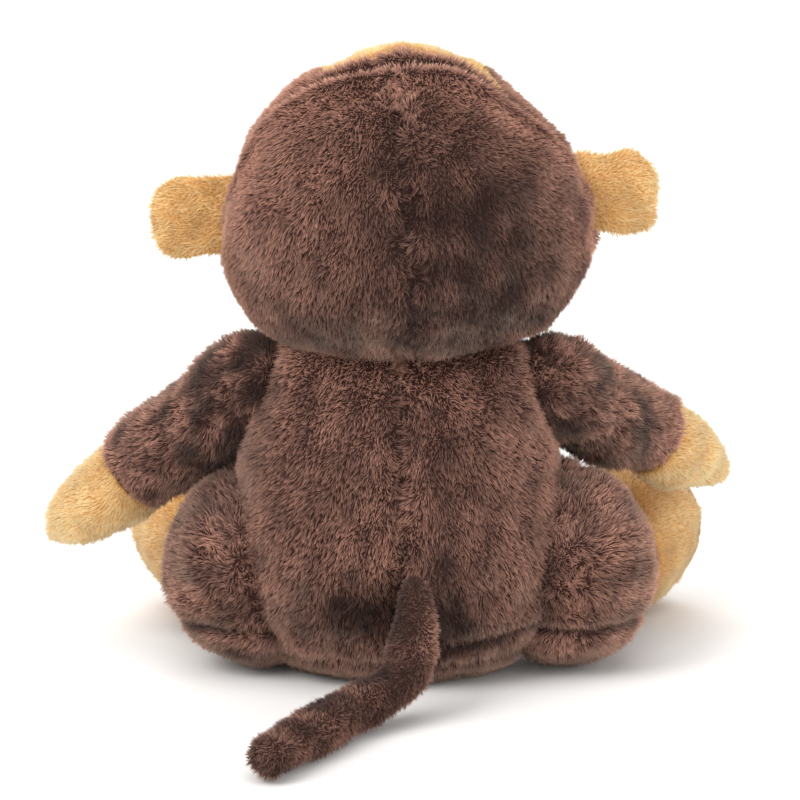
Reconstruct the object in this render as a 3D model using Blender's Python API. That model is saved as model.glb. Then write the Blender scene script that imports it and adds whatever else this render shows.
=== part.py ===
"""Seated plush monkey, built as it is sewn: fabric panels as thin shells round their stuffing.

Metres, +Z up. The monkey faces -Y and its left side is +X. The origin is the centre of the flat
seat face that it sits on. Each part that moves hangs from an empty on its joint's axis.
"""

import math

import bmesh
import bpy
import numpy as np
from mathutils import Matrix, Vector

MM = 0.001
SIDES = (("left", 1), ("right", -1))  # each side's name and the sign of its X

# Fabric and stuffing
CLOTH = 2.0 * MM  # thickness of the plush fabric with its backing
GAP = 0.3 * MM  # space kept between pieces that touch
STUFFING_GAP = 1.2 * MM  # space between the cloth and its coarser stuffing
JOINT_GAP = 0.6 * MM  # space round a rounded limb root
SWEEP_GAP = 0.9 * MM  # space round a thigh that moves

# Torso: (height, half width, half depth) from the seat up to the neck
TORSO_OUTLINE = (
    (0, 28, 20),
    (3, 35, 27),
    (10, 42, 34.5),
    (24, 49.5, 41),
    (42, 52.5, 43.5),
    (60, 51.5, 41.5),
    (78, 48.5, 37),
    (89, 45, 32),
    (96.5, 41, 23),
    (99, 28.5, 17),
    (104, 17.5, 15),
    (109, 10, 9),
)
TORSO_TOP = 111 * MM
TORSO_POWER = 2.5  # 2 is an ellipse, more is squarer
TORSO_SIDES = 20
STUFFING_SIDES = 14
SEAT_SEAM_HEIGHT = 9 * MM
NECK_OPENING_RADIUS = 9 * MM
POUCH_RADII = (15 * MM, 20 * MM, 14 * MM)
POUCH_POWER = 2.4

# Head: an egg, widest low down, that tips to its left
HEAD_CENTRE = Vector((-2, -3, 137)) * MM  # on the level where the head is widest
HEAD_HALF_WIDTH = 57.5 * MM
HEAD_HALF_DEPTH = 50 * MM
HEAD_ABOVE = 61 * MM
HEAD_BELOW = 37 * MM
HEAD_POWER_ROUND = 2.15
HEAD_POWER_ABOVE = 1.9
HEAD_POWER_BELOW = 2.4
HEAD_TILT = math.radians(3.5)
NECK_PIVOT = Vector((0, -2, 75)) * MM
NECK_RADIUS = 36.2 * MM
BACK_SEAM_ANGLE = math.radians(70.5)  # the back seam's plane, up from the back about the ear line
EAR_LINE_HEIGHT = 9.5 * MM
FACE_HALF_WIDTH = 43 * MM
FACE_ABOVE = 64 * MM  # the face panel's reach above and below the head's widest level
FACE_BELOW = 31 * MM
FACE_LEAN = 0.04  # the face panel stands upright on the tipped head
FACE_BACK = 10 * MM  # how far behind the ear line the face panel's top reaches

# Face
MUZZLE_CENTRE = Vector((0, -45, -7)) * MM
MUZZLE_RADII = (28 * MM, 19 * MM, 18.5 * MM)
MUZZLE_POWER = 2.1
EYE_RADIUS = 6 * MM
EYE_HEIGHT = 4.2 * MM
EYE_RIM = 0.8 * MM  # the upright edge below the eye's dome
EYE_BACK_RADIUS = 5.6 * MM
EYE_STANDOFF = 0.4 * MM  # the eye's flat back stands this far off the cloth
EYE_SIDES = 12
EYE_DIRECTION = Vector((17, -44, 22))
SHANK_RADIUS = 1.8 * MM
SHANK_LENGTH = 9 * MM
SHANK_SIDES = 8
WASHER_RADIUS = 6.5 * MM
WASHER_THICKNESS = 1.4 * MM
WASHER_DEPTH = CLOTH + 1.8 * MM  # the washer's front below the cloth's surface, clear of the cloth's curve
NOSE_RADII = (7 * MM, 4 * MM, 4.5 * MM)
NOSE_POWER = 2.2
NOSE_RAISE = 9 * MM  # above the muzzle's centre
NOSE_FORWARD = 0.5 * MM
MOUTH_HALF_WIDTH = 11 * MM
MOUTH_DROP = 3 * MM  # the mouth's corners below the muzzle's centre
MOUTH_SAG = 3.5 * MM  # its middle below its corners
MOUTH_STEPS = 10
MOUTH_THREAD_RADIUS = 0.8 * MM
MOUTH_THREAD_SIDES = 6

# Ears: rounded-square flaps, hinged on their upright seam
EAR_PIVOT_OUT = 62.2 * MM
EAR_LENGTH = 17 * MM
EAR_HALF_HEIGHT = 15 * MM
EAR_HALF_THICKNESS = 4.6 * MM
EAR_CLOTH = 1.5 * MM
EAR_RIM_POWER = 2.7
EAR_SECTION_POWER = 2.6
EAR_SEAM_SHARE = 0.92  # its height at the seam, as a share of its full height
EAR_WIDENS_OVER = 0.45  # the share of its length in which it reaches its full height
EAR_THINS_BY = 0.25  # the share of its thickness lost by its rim
EAR_SIDES = 12
EAR_STEPS = 6

# Arms: pivot, and where each one points (out, forward, down)
ARM_PIVOT = Vector((49, -2, 89.5)) * MM
ARM_AIMS = {"left": (0.725, -0.3, -0.62), "right": (-0.65, -0.61, -0.45)}
# (distance from the pivot, half height, half thickness)
SLEEVE_OUTLINE = (
    (0, 17, 17),
    (6, 15.6, 15.6),
    (10, 13.2, 13.2),
    (16, 13, 13),
    (25, 14.8, 13.8),
    (38, 15, 13.9),
    (52, 13.7, 13),
)
HAND_OUTLINE = (
    (52, 13.7, 13),
    (60, 13.7, 12),
    (69, 12.4, 10.4),
    (78, 9.8, 8.4),
    (85, 6.6, 6),
    (89, 3.2, 3.2),
)
ARM_ROOT_RADIUS = 17 * MM
ARM_LENGTH = 90.5 * MM
ARM_SIDES = 12
ROOT_TIP_SHARE = 0.97  # a limb's stuffing ends this near its rounded root's full reach

# Legs: pivots, splay from straight ahead, and (distance, half height, half width, centre height)
LEG_PIVOTS = {"left": Vector((42.5, 3, 33.5)) * MM, "right": Vector((-49, 3, 33.5)) * MM}
LEG_SPLAY = {"left": math.radians(17), "right": math.radians(21)}
LEG_ROOT_RADIUS = 33 * MM
LEG_LIFT = {"left": math.radians(26), "right": math.radians(12)}  # until the leg meets the arm above it
SWEEP_STEPS = 5  # the lifts at which the room for the moving thigh is cut
LEG_SIDES = 14
LEG_OUTLINE = (
    (0, 33, 33, 0),
    (9, 31, 30.6, -1),
    (18, 26.6, 26, -5),
    (30, 22.8, 21.8, -10),
    (43, 20.6, 19.6, -12.4),
    (56, 19, 18, -13.5),
)
FOOT_OUTLINE = (
    (56, 19, 18, -13.5),
    (64, 21.8, 19.8, -11),
    (73, 24.4, 22, -8.6),
    (82, 25.2, 23, -7.8),
    (90, 23.8, 22.2, -7.8),
)
SOLE_BULGE = 4.5 * MM
SOLE_SHARES = (1.0, 0.92, 0.75, 0.45)  # the sole's rings, as shares of the foot's size

# Tail: the points its centre line passes through, from its root in the back seam to its tip
TAIL_POINTS = (
    (-5, 42.5, 36),
    (-5, 53, 31.5),
    (-4, 59.5, 22.5),
    (-0.5, 64, 14),
    (8, 70, 9.4),
    (20, 86, 8),
    (37, 118, 7.4),
)
TAIL_ROOT_RADIUS = 6 * MM
TAIL_RADIUS = 8 * MM
TAIL_TIP_RADIUS = 7.2 * MM
TAIL_CLOTH = 1.6 * MM
TAIL_SIDES = 10
TAIL_WIDENS_OVER = 0.3  # the share of its length in which the tail grows from its root to its full radius

BROWN_PLUSH = ("brown_plush", (0.105, 0.055, 0.042), 0.95)
TAN_PLUSH = ("tan_plush", (0.66, 0.34, 0.115), 0.95)
WADDING = ("wadding", (0.85, 0.84, 0.8), 1.0)
POUCH_CLOTH = ("pouch_cloth", (0.75, 0.74, 0.7), 0.9)
EYE_PLASTIC = ("eye_plastic", (0.008, 0.006, 0.006), 0.12)
WASHER_PLASTIC = ("washer_plastic", (0.8, 0.8, 0.8), 0.5)
NOSE_PLASTIC = ("nose_plastic", (0.03, 0.015, 0.012), 0.25)
DARK_THREAD = ("dark_thread", (0.02, 0.011, 0.01), 0.7)


# ---------------------------------------------------------------- scene, materials and placing


def clear_scene():
    for old in list(bpy.data.objects):
        bpy.data.objects.remove(old, do_unlink=True)


def material(look):
    """The Principled material of a (name, colour, roughness) look, made once."""
    name, colour, roughness = look
    if name in bpy.data.materials:
        return bpy.data.materials[name]
    made = bpy.data.materials.new(name)
    made.use_nodes = True
    shader = made.node_tree.nodes["Principled BSDF"]
    shader.inputs["Base Color"].default_value = (*colour, 1)
    shader.inputs["Roughness"].default_value = roughness
    shader.inputs["Metallic"].default_value = 0
    return made


def pivot(name, location, parent=None, rotation=None):
    """An empty that a moving part hangs from."""
    empty = bpy.data.objects.new(name, None)
    bpy.context.scene.collection.objects.link(empty)
    empty.parent = parent
    empty.location = location
    if rotation is not None:
        empty.rotation_euler = rotation.to_euler()
    return empty


def finish(obj, name, look, parent=None):
    """Names a piece, gives it its material and hangs it from its pivot."""
    obj.name = name
    obj.data.name = name
    obj.data.materials.clear()
    obj.data.materials.append(material(look))
    obj.data.shade_smooth()
    obj.data.set_sharp_from_angle(angle=math.radians(40))
    obj.parent = parent
    return obj


# ---------------------------------------------------------------- solids and cuts


def mesh_object(vertices, faces):
    mesh = bpy.data.meshes.new("shape")
    mesh.from_pydata([tuple(v) for v in vertices], [], faces)
    shape = bmesh.new()
    shape.from_mesh(mesh)
    bmesh.ops.recalc_face_normals(shape, faces=shape.faces)
    shape.to_mesh(mesh)
    shape.free()
    obj = bpy.data.objects.new("shape", mesh)
    bpy.context.scene.collection.objects.link(obj)
    return obj


def band_faces(first, second, count):
    """The quads between two rings of points that start at these indices."""
    return [
        (first + i, first + (i + 1) % count, second + (i + 1) % count, second + i)
        for i in range(count)
    ]


def loft(rings, start_tip=None, end_tip=None):
    """A closed solid through rings of points. An end is a flat face, or closes on a tip point."""
    count = len(rings[0])
    vertices = [point for ring in rings for point in ring]
    faces = []
    for i in range(len(rings) - 1):
        faces += band_faces(i * count, (i + 1) * count, count)
    for tip, first in ((start_tip, 0), (end_tip, (len(rings) - 1) * count)):
        if tip is None:
            faces.append(tuple(range(first, first + count)))
        else:
            vertices.append(tip)
            last = len(vertices) - 1
            faces += [(first + i, first + (i + 1) % count, last) for i in range(count)]
    return mesh_object(vertices, faces)


def open_sleeve(outer, inner):
    """A tube of cloth, open at both ends, between an outer and an inner list of rings."""
    count = len(outer[0])
    rings = outer + inner[::-1]
    vertices = [point for ring in rings for point in ring]
    faces = []
    for i in range(len(rings)):
        faces += band_faces(i * count, (i + 1) % len(rings) * count, count)
    return mesh_object(vertices, faces)


def open_cup(outer, inner, outer_tip, inner_tip):
    """A cap of cloth, open at its first ring and closed at its tips."""
    count = len(outer[0])
    rings = inner[::-1] + outer
    vertices = [point for ring in rings for point in ring]
    faces = []
    for i in range(len(rings) - 1):
        faces += band_faces(i * count, (i + 1) * count, count)
    for tip, first in ((inner_tip, 0), (outer_tip, (len(rings) - 1) * count)):
        vertices.append(tip)
        last = len(vertices) - 1
        faces += [(first + i, first + (i + 1) % count, last) for i in range(count)]
    return mesh_object(vertices, faces)


def power_ring(half_a, half_b, power, count):
    """The (a, b) points of a superellipse: an ellipse at power 2, squarer above it."""
    points = []
    for i in range(count):
        turn = math.tau * i / count
        a, b = math.cos(turn), math.sin(turn)
        scale = (abs(a) ** power + abs(b) ** power) ** (-1 / power)
        points.append((half_a * a * scale, half_b * b * scale))
    return points


def power_ball(radii, power, centre=(0, 0, 0), segments=24, rings=12):
    """A superellipsoid: a ball at power 2, squarer above it."""
    shape = bmesh.new()
    bmesh.ops.create_uvsphere(shape, u_segments=segments, v_segments=rings, radius=1)
    for vertex in shape.verts:
        x, y, z = vertex.co
        size = (abs(x) ** power + abs(y) ** power + abs(z) ** power) ** (-1 / power)
        vertex.co = Vector((x * radii[0], y * radii[1], z * radii[2])) * size + Vector(centre)
    mesh = bpy.data.meshes.new("shape")
    shape.to_mesh(mesh)
    shape.free()
    obj = bpy.data.objects.new("shape", mesh)
    bpy.context.scene.collection.objects.link(obj)
    return obj


def box(low, high):
    """A block between two corners."""
    corners = [(x, y, z) for x in (low[0], high[0]) for y in (low[1], high[1]) for z in (low[2], high[2])]
    faces = [(0, 1, 3, 2), (4, 6, 7, 5), (0, 4, 5, 1), (2, 3, 7, 6), (0, 2, 6, 4), (1, 5, 7, 3)]
    return mesh_object(corners, faces)


def prism(outline, axis_matrix, low, high):
    """An (a, b) outline swept along its own c axis from low to high, then placed by a matrix."""
    rings = [[axis_matrix @ Vector((a, b, c)) for a, b in outline] for c in (low, high)]
    return loft(rings)


def copy_of(obj):
    copied = bpy.data.objects.new("shape", obj.data.copy())
    bpy.context.scene.collection.objects.link(copied)
    copied.matrix_world = obj.matrix_world.copy()
    return copied


def combine(obj, tool, operation):
    """Applies one Boolean to obj and removes the tool."""
    modifier = obj.modifiers.new("cut", "BOOLEAN")
    modifier.operation = operation
    modifier.solver = "EXACT"
    modifier.object = tool
    graph = bpy.context.evaluated_depsgraph_get()
    result = bpy.data.meshes.new_from_object(obj.evaluated_get(graph))
    obj.modifiers.clear()
    obj.data = result
    bpy.data.objects.remove(tool, do_unlink=True)
    return obj


def cut(obj, *tools):
    for tool in tools:
        combine(obj, tool, "DIFFERENCE")
    return obj


def keep(obj, *tools):
    for tool in tools:
        combine(obj, tool, "INTERSECT")
    return obj


def discard(*objects):
    for obj in objects:
        bpy.data.objects.remove(obj, do_unlink=True)


def grown(radii, by):
    return tuple(r + by for r in radii)


FAR = 200 * MM  # a cutter reaches this far past the part


# ---------------------------------------------------------------- torso


def torso_form(inset, sides=TORSO_SIDES):
    """The torso's whole solid, its surface moved in by inset."""
    rings = []
    for height, half_width, half_depth in TORSO_OUTLINE:
        outline = power_ring(half_width * MM - inset, half_depth * MM - inset, TORSO_POWER, sides)
        rings.append([(a, b, max(height * MM, inset)) for a, b in outline])
    heights = [ring[0][2] for ring in rings]
    first = max(i for i, height in enumerate(heights) if height <= inset)
    return loft(rings[first:], end_tip=(0, 0, TORSO_TOP - inset))


def ball(centre, radius, segments=16, rings=10):
    """A faceted ball whose flats stay outside the radius, so that a true ball turns freely inside it."""
    outer = radius / math.cos(math.pi / segments) / math.cos(math.pi / (2 * rings))
    return power_ball((outer, outer, outer), 2, centre, segments, rings)


def thigh_sweep(name, side, lift):
    """The room that a thigh takes, past its rounded root, when its leg is lifted this far."""
    thigh = loft(outline_rings(LEG_OUTLINE[1:], -SWEEP_GAP, LEG_SIDES))
    place = Matrix.Translation(LEG_PIVOTS[name])
    thigh.data.transform(place @ Matrix.Rotation(-lift, 4, "X") @ leg_turn(name, side).to_4x4())
    return thigh


def limb_pockets():
    """The hollows that the limbs' rounded roots turn in."""
    pockets = []
    for name, side in SIDES:
        arm = Vector((side * ARM_PIVOT.x, ARM_PIVOT.y, ARM_PIVOT.z))
        pockets.append(ball(arm, ARM_ROOT_RADIUS + JOINT_GAP))
        pockets.append(ball(LEG_PIVOTS[name], LEG_ROOT_RADIUS + JOINT_GAP))
        for step in range(SWEEP_STEPS + 1):
            pockets.append(thigh_sweep(name, side, LEG_LIFT[name] * step / SWEEP_STEPS))
    pockets.append(ball(Vector(TAIL_POINTS[0]) * MM, TAIL_ROOT_RADIUS + JOINT_GAP))
    return pockets


def pouch_form(margin):
    return power_ball(grown(POUCH_RADII, margin), POUCH_POWER, (0, 0, CLOTH + STUFFING_GAP), 16, 8)


def make_torso():
    shell = torso_form(0)
    cut(shell, torso_form(CLOTH), *limb_pockets())
    cut(shell, ball((0, 0, TORSO_TOP), NECK_OPENING_RADIUS, 12, 6))
    half = GAP / 2
    above_seat = SEAT_SEAM_HEIGHT + half
    regions = {
        "torso_back_left": ((half, half, above_seat), (FAR, FAR, FAR)),
        "torso_back_right": ((-FAR, half, above_seat), (-half, FAR, FAR)),
        "torso_belly_panel": ((-FAR, -FAR, above_seat), (FAR, -half, FAR)),
        "torso_seat_panel": ((-FAR, -FAR, -FAR), (FAR, FAR, SEAT_SEAM_HEIGHT - half)),
    }
    for name, (low, high) in regions.items():
        finish(keep(copy_of(shell), box(low, high)), name, BROWN_PLUSH)
    discard(shell)

    inside = CLOTH + STUFFING_GAP
    pouch = keep(pouch_form(0), box((-FAR, -FAR, inside), (FAR, FAR, FAR)))
    finish(pouch, "torso_pellet_pouch", POUCH_CLOTH)
    stuffing = torso_form(inside, STUFFING_SIDES)
    cut(stuffing, pouch_form(GAP), *limb_pockets())
    finish(stuffing, "torso_stuffing", WADDING)


# ---------------------------------------------------------------- head


def head_surface(direction, inset=0.0):
    """The point of the head's surface in a direction from its centre, moved in by inset."""
    height, power = (HEAD_ABOVE, HEAD_POWER_ABOVE) if direction[2] > 0 else (HEAD_BELOW, HEAD_POWER_BELOW)
    radii = grown((HEAD_HALF_WIDTH, HEAD_HALF_DEPTH, height), -inset)
    x, y, z = (abs(c) / r for c, r in zip(direction, radii))
    level = (x**HEAD_POWER_ROUND + y**HEAD_POWER_ROUND) ** (1 / HEAD_POWER_ROUND)
    return Vector(direction) * (level**power + z**power) ** (-1 / power)


def head_form(inset, segments=24, rings=14):
    """The head's whole solid, its surface moved in by inset."""
    form = power_ball((1, 1, 1), 2, (0, 0, 0), segments, rings)
    for vertex in form.data.vertices:
        x, y, z = vertex.co
        vertex.co = head_surface(Vector((x * HEAD_HALF_WIDTH, y * HEAD_HALF_DEPTH, z * HEAD_ABOVE)), inset)
    return form


def muzzle_form(inset):
    return power_ball(grown(MUZZLE_RADII, -inset), MUZZLE_POWER, MUZZLE_CENTRE, 18, 10)


def head_normal(point):
    """The direction straight out of the head's surface at a point of it."""
    step = 0.5 * MM
    across = head_surface(point + Vector((step, 0, 0))) - head_surface(point - Vector((step, 0, 0)))
    up = head_surface(point + Vector((0, 0, step))) - head_surface(point - Vector((0, 0, step)))
    normal = across.cross(up).normalized()
    return normal if normal.dot(point) > 0 else -normal


def ear_line_half(front, margin):
    """The half of space in front of, or behind, the back seam's plane through the ear line."""
    turn = Matrix.Translation((0, 0, EAR_LINE_HEIGHT)) @ Matrix.Rotation(BACK_SEAM_ANGLE, 4, "X")
    low, high = (margin, FAR) if front else (-FAR, -margin)
    block = box((-FAR, -FAR, low), (FAR, FAR, high))
    block.data.transform(turn)
    return block


def face_cutter(margin):
    """An upright oval, longer above than below, that reaches from in front of the face to the crown."""
    upper = power_ring(FACE_HALF_WIDTH + margin, FACE_ABOVE + margin, 2, 24)
    lower = power_ring(FACE_HALF_WIDTH + margin, FACE_BELOW + margin, 2, 24)
    leaning = [(across - FACE_LEAN * up, up) for across, up in upper]
    outline = [high if high[1] > 0 else low for high, low in zip(leaning, lower)]
    return prism(outline, Matrix.Rotation(math.radians(90), 4, "X"), -FACE_BACK - margin, FAR)


def eye_frame(side):
    """Where an eye sits: its +Z points out of the face."""
    direction = Vector((side * EYE_DIRECTION.x, EYE_DIRECTION.y, EYE_DIRECTION.z))
    place = head_surface(direction)
    turn = head_normal(place).to_track_quat("Z", "Y").to_matrix().to_4x4()
    return Matrix.Translation(place) @ turn


def disc(radius, low, high, frame, sides=EYE_SIDES):
    return prism(power_ring(radius, radius, 2, sides), frame, low, high)


def make_eye(name, side, head):
    frame = eye_frame(side)
    dome_base = EYE_STANDOFF + EYE_RIM
    profile = [(EYE_BACK_RADIUS, EYE_STANDOFF)]
    for turn in (math.radians(d) for d in (0, 22.5, 45, 67.5)):
        profile.append((EYE_RADIUS * math.cos(turn), dome_base + EYE_HEIGHT * math.sin(turn)))
    rings = []
    for radius, height in profile:
        rings.append([frame @ Vector((a, b, height)) for a, b in power_ring(radius, radius, 2, EYE_SIDES)])
    eye = loft(rings, end_tip=frame @ Vector((0, 0, dome_base + EYE_HEIGHT)))
    combine(eye, disc(SHANK_RADIUS, -SHANK_LENGTH, dome_base, frame, SHANK_SIDES), "UNION")
    finish(eye, f"eye_{name}", EYE_PLASTIC, head)
    behind = -WASHER_DEPTH
    washer = disc(WASHER_RADIUS, behind - WASHER_THICKNESS, behind, frame)
    cut(washer, disc(SHANK_RADIUS + GAP, -FAR, FAR, frame, SHANK_SIDES))
    finish(washer, f"eye_washer_{name}", WASHER_PLASTIC, head)


def eye_pocket(side):
    """The room inside the stuffing for an eye's shank and washer."""
    behind = -WASHER_DEPTH - WASHER_THICKNESS - GAP
    pocket = disc(WASHER_RADIUS + GAP, behind, FAR, eye_frame(side))
    shank_room = disc(SHANK_RADIUS + GAP, -SHANK_LENGTH - GAP, FAR, eye_frame(side), SHANK_SIDES)
    return combine(pocket, shank_room, "UNION")


def muzzle_surface(x, z):
    """The front of the muzzle at this place across and up, from the head's centre."""
    across = (x - MUZZLE_CENTRE.x) / MUZZLE_RADII[0]
    up = (z - MUZZLE_CENTRE.z) / MUZZLE_RADII[2]
    depth = max(0.0, 1 - abs(across) ** MUZZLE_POWER - abs(up) ** MUZZLE_POWER) ** (1 / MUZZLE_POWER)
    return Vector((x, MUZZLE_CENTRE.y - MUZZLE_RADII[1] * depth, z))


def make_nose_and_mouth(head):
    nose_place = muzzle_surface(0, MUZZLE_CENTRE.z + NOSE_RAISE) - Vector((0, NOSE_FORWARD, 0))
    nose = power_ball(NOSE_RADII, NOSE_POWER, nose_place, 12, 8)
    cut(nose, muzzle_form(-GAP))
    finish(nose, "nose", NOSE_PLASTIC, head)

    rings = []
    lift = GAP + MOUTH_THREAD_RADIUS * 1.2  # clear of the muzzle's flats
    section = power_ring(MOUTH_THREAD_RADIUS, MOUTH_THREAD_RADIUS, 2, MOUTH_THREAD_SIDES)
    for i in range(MOUTH_STEPS + 1):
        across = 2 * i / MOUTH_STEPS - 1
        below = MOUTH_DROP + MOUTH_SAG * (1 - across**2)
        centre = muzzle_surface(MOUTH_HALF_WIDTH * across, MUZZLE_CENTRE.z - below) - Vector((0, lift, 0))
        rings.append([centre + Vector((0, b, a)) for a, b in section])
    finish(loft(rings), "mouth_stitch", DARK_THREAD, head)


def make_head():
    neck = pivot("neck_pivot", NECK_PIVOT)
    head = pivot("head_frame", HEAD_CENTRE - NECK_PIVOT, neck, Matrix.Rotation(HEAD_TILT, 3, "Y"))
    # The neck's centre as the tilted head sees it
    neck_inside = Matrix.Rotation(-HEAD_TILT, 3, "Y") @ (NECK_PIVOT - HEAD_CENTRE)

    def socket():
        return ball(neck_inside, NECK_RADIUS + JOINT_GAP, 20, 12)

    half = GAP / 2
    shell = cut(head_form(0), head_form(CLOTH), socket())
    for name, low, high in (
        ("head_back_left", half, FAR),
        ("head_back_right", -FAR, -half),
    ):
        panel = keep(copy_of(shell), ear_line_half(False, half), box((low, -FAR, -FAR), (high, FAR, FAR)))
        finish(panel, name, BROWN_PLUSH, head)

    front = keep(shell, ear_line_half(True, half))
    gusset = cut(copy_of(front), face_cutter(half))
    finish(gusset, "head_crown_gusset", BROWN_PLUSH, head)
    face = keep(front, face_cutter(-half))
    cut(face, muzzle_form(CLOTH))
    for side in (1, -1):
        cut(face, disc(SHANK_RADIUS + GAP, -SHANK_LENGTH, FAR, eye_frame(side), SHANK_SIDES))
    finish(face, "face_panel", TAN_PLUSH, head)

    muzzle = cut(muzzle_form(0), muzzle_form(CLOTH), head_form(-GAP))
    finish(muzzle, "muzzle_panel", TAN_PLUSH, head)

    stuffing = head_form(CLOTH + STUFFING_GAP, 16, 10)
    combine(stuffing, muzzle_form(CLOTH + STUFFING_GAP), "UNION")
    cut(stuffing, socket(), eye_pocket(1), eye_pocket(-1))
    finish(stuffing, "head_stuffing", WADDING, head)

    for name, side in SIDES:
        make_eye(name, side, head)
        make_ear(name, side, head)
    make_nose_and_mouth(head)


# ---------------------------------------------------------------- ears


def ear_form(inset):
    """The whole padded ear along +X from its seam, its rounded edge about the seam."""
    length = EAR_LENGTH - inset
    thick = EAR_HALF_THICKNESS - inset
    stations = []
    for turn in (math.radians(d) for d in (20, 60)):
        seam_height = EAR_HALF_HEIGHT * EAR_SEAM_SHARE - inset
        stations.append((-thick * math.cos(turn), seam_height, thick * math.sin(turn)))
    for i in range(EAR_STEPS):
        share = i / EAR_STEPS
        rounded = (1 - share**EAR_RIM_POWER) ** (1 / EAR_RIM_POWER)
        widened = EAR_SEAM_SHARE + (1 - EAR_SEAM_SHARE) * min(1.0, share / EAR_WIDENS_OVER)
        height = (EAR_HALF_HEIGHT - inset) * rounded * widened
        stations.append((length * share, height, thick * (1 - EAR_THINS_BY * share)))
    rings = []
    for along, half_height, half_thick in stations:
        section = power_ring(half_height, half_thick, EAR_SECTION_POWER, EAR_SIDES)
        rings.append([(along, b, a) for a, b in section])
    return loft(rings, end_tip=(length, 0, 0))


def make_ear(name, side, head):
    turn = Matrix.Rotation(0 if side > 0 else math.pi, 3, "Z")
    ear = pivot(f"ear_{name}_pivot", (side * EAR_PIVOT_OUT, 0, EAR_LINE_HEIGHT), head, turn)
    half = GAP / 2
    shell = cut(ear_form(0), ear_form(EAR_CLOTH))
    front, back = (-FAR, -half), (half, FAR)
    if side < 0:
        front, back = back, front
    for face, (low, high) in (("front", front), ("back", back)):
        panel = keep(copy_of(shell), box((-FAR, low, -FAR), (FAR, high, FAR)))
        finish(panel, f"ear_{name}_{face}", TAN_PLUSH, ear)
    discard(shell)
    finish(ear_form(EAR_CLOTH + GAP), f"ear_{name}_wadding", WADDING, ear)


# ---------------------------------------------------------------- arms and legs


def limb_ring(along, half_height, half_width, centre_height, inset, sides):
    return [
        (along, b, centre_height + a)
        for a, b in power_ring(half_height - inset, half_width - inset, 2, sides)
    ]


def root_rings(radius, inset, sides, angles=(30, 60)):
    """The rounded root of a limb: rings on a ball about its pivot."""
    rings = []
    for turn in (math.radians(d) for d in angles):
        size = (radius - inset) * math.sin(turn)
        rings.append(limb_ring(-(radius - inset) * math.cos(turn), size, size, 0, 0, sides))
    return rings


def outline_rings(outline, inset, sides):
    """Rings of a limb's outline of (distance, half height, half width, centre height) in millimetres."""
    rings = []
    for along, half_height, half_width, *lift in outline:
        centre = lift[0] * MM if lift else 0
        rings.append(limb_ring(along * MM, half_height * MM, half_width * MM, centre, inset, sides))
    return rings


def cloth_layers(outline, sides, root_radius=None, start=0.0, end=0.0):
    """The outer and inner rings of a stretch of limb, its first and last rings moved along its length."""
    layers = []
    for inset in (0, CLOTH):
        rings = root_rings(root_radius, inset, sides) if root_radius else []
        rings += outline_rings(outline, inset, sides)
        rings[0] = [(x + start, y, z) for x, y, z in rings[0]]
        rings[-1] = [(x + end, y, z) for x, y, z in rings[-1]]
        layers.append(rings)
    return layers


def limb_stuffing(outline, root_radius, sides, end_tip=None):
    inside = CLOTH + GAP
    rings = root_rings(root_radius, inside, sides) + outline_rings(outline, inside, sides)
    root_tip = ((inside - root_radius) * ROOT_TIP_SHARE, 0, 0)
    return loft(rings, start_tip=root_tip, end_tip=end_tip)


def aimed(direction):
    """The turn that points a limb's own +X in a direction and keeps its +Z as upright as it can be."""
    forward = Vector(direction).normalized()
    sideways = Vector((0, 0, 1)).cross(forward).normalized()
    upright = forward.cross(sideways)
    return Matrix((forward, sideways, upright)).transposed()


def leg_turn(name, side):
    splay = LEG_SPLAY[name]
    return aimed((side * math.sin(splay), -math.cos(splay), 0))


def make_arm(name, side):
    place = (side * ARM_PIVOT.x, ARM_PIVOT.y, ARM_PIVOT.z)
    arm = pivot(f"arm_{name}_pivot", place, rotation=aimed(ARM_AIMS[name]))
    half = GAP / 2
    sleeve = open_sleeve(*cloth_layers(SLEEVE_OUTLINE, ARM_SIDES, ARM_ROOT_RADIUS, end=-half))
    finish(sleeve, f"arm_{name}_sleeve", BROWN_PLUSH, arm)
    outer, inner = cloth_layers(HAND_OUTLINE, ARM_SIDES, start=half)
    # The hand's last ring is nearly as small as the cloth is thick, so the lining stops one ring short
    lining_tip = ARM_LENGTH - 2 * CLOTH
    hand = open_cup(outer, inner[:-1], (ARM_LENGTH, 0, 0), (lining_tip, 0, 0))
    finish(hand, f"hand_{name}", TAN_PLUSH, arm)
    whole = SLEEVE_OUTLINE + HAND_OUTLINE[1:-1]
    stuffing = limb_stuffing(whole, ARM_ROOT_RADIUS, ARM_SIDES, (lining_tip - 2 * GAP, 0, 0))
    finish(stuffing, f"arm_{name}_stuffing", WADDING, arm)


def make_leg(name, side):
    leg = pivot(f"leg_{name}_pivot", LEG_PIVOTS[name], rotation=leg_turn(name, side))
    half = GAP / 2
    sleeve = open_sleeve(*cloth_layers(LEG_OUTLINE, LEG_SIDES, LEG_ROOT_RADIUS, end=-half))
    finish(sleeve, f"leg_{name}_sleeve", BROWN_PLUSH, leg)
    foot = open_sleeve(*cloth_layers(FOOT_OUTLINE, LEG_SIDES, start=half, end=-half))
    finish(foot, f"foot_{name}_upper", TAN_PLUSH, leg)
    finish(make_sole(), f"foot_{name}_sole", TAN_PLUSH, leg)
    # The stuffing's flat end stays clear of the sole
    end, half_height, half_width, centre_height = FOOT_OUTLINE[-1]
    whole = LEG_OUTLINE + FOOT_OUTLINE[1:-1] + ((end - half / MM, half_height, half_width, centre_height),)
    finish(limb_stuffing(whole, LEG_ROOT_RADIUS, LEG_SIDES), f"leg_{name}_stuffing", WADDING, leg)


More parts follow.
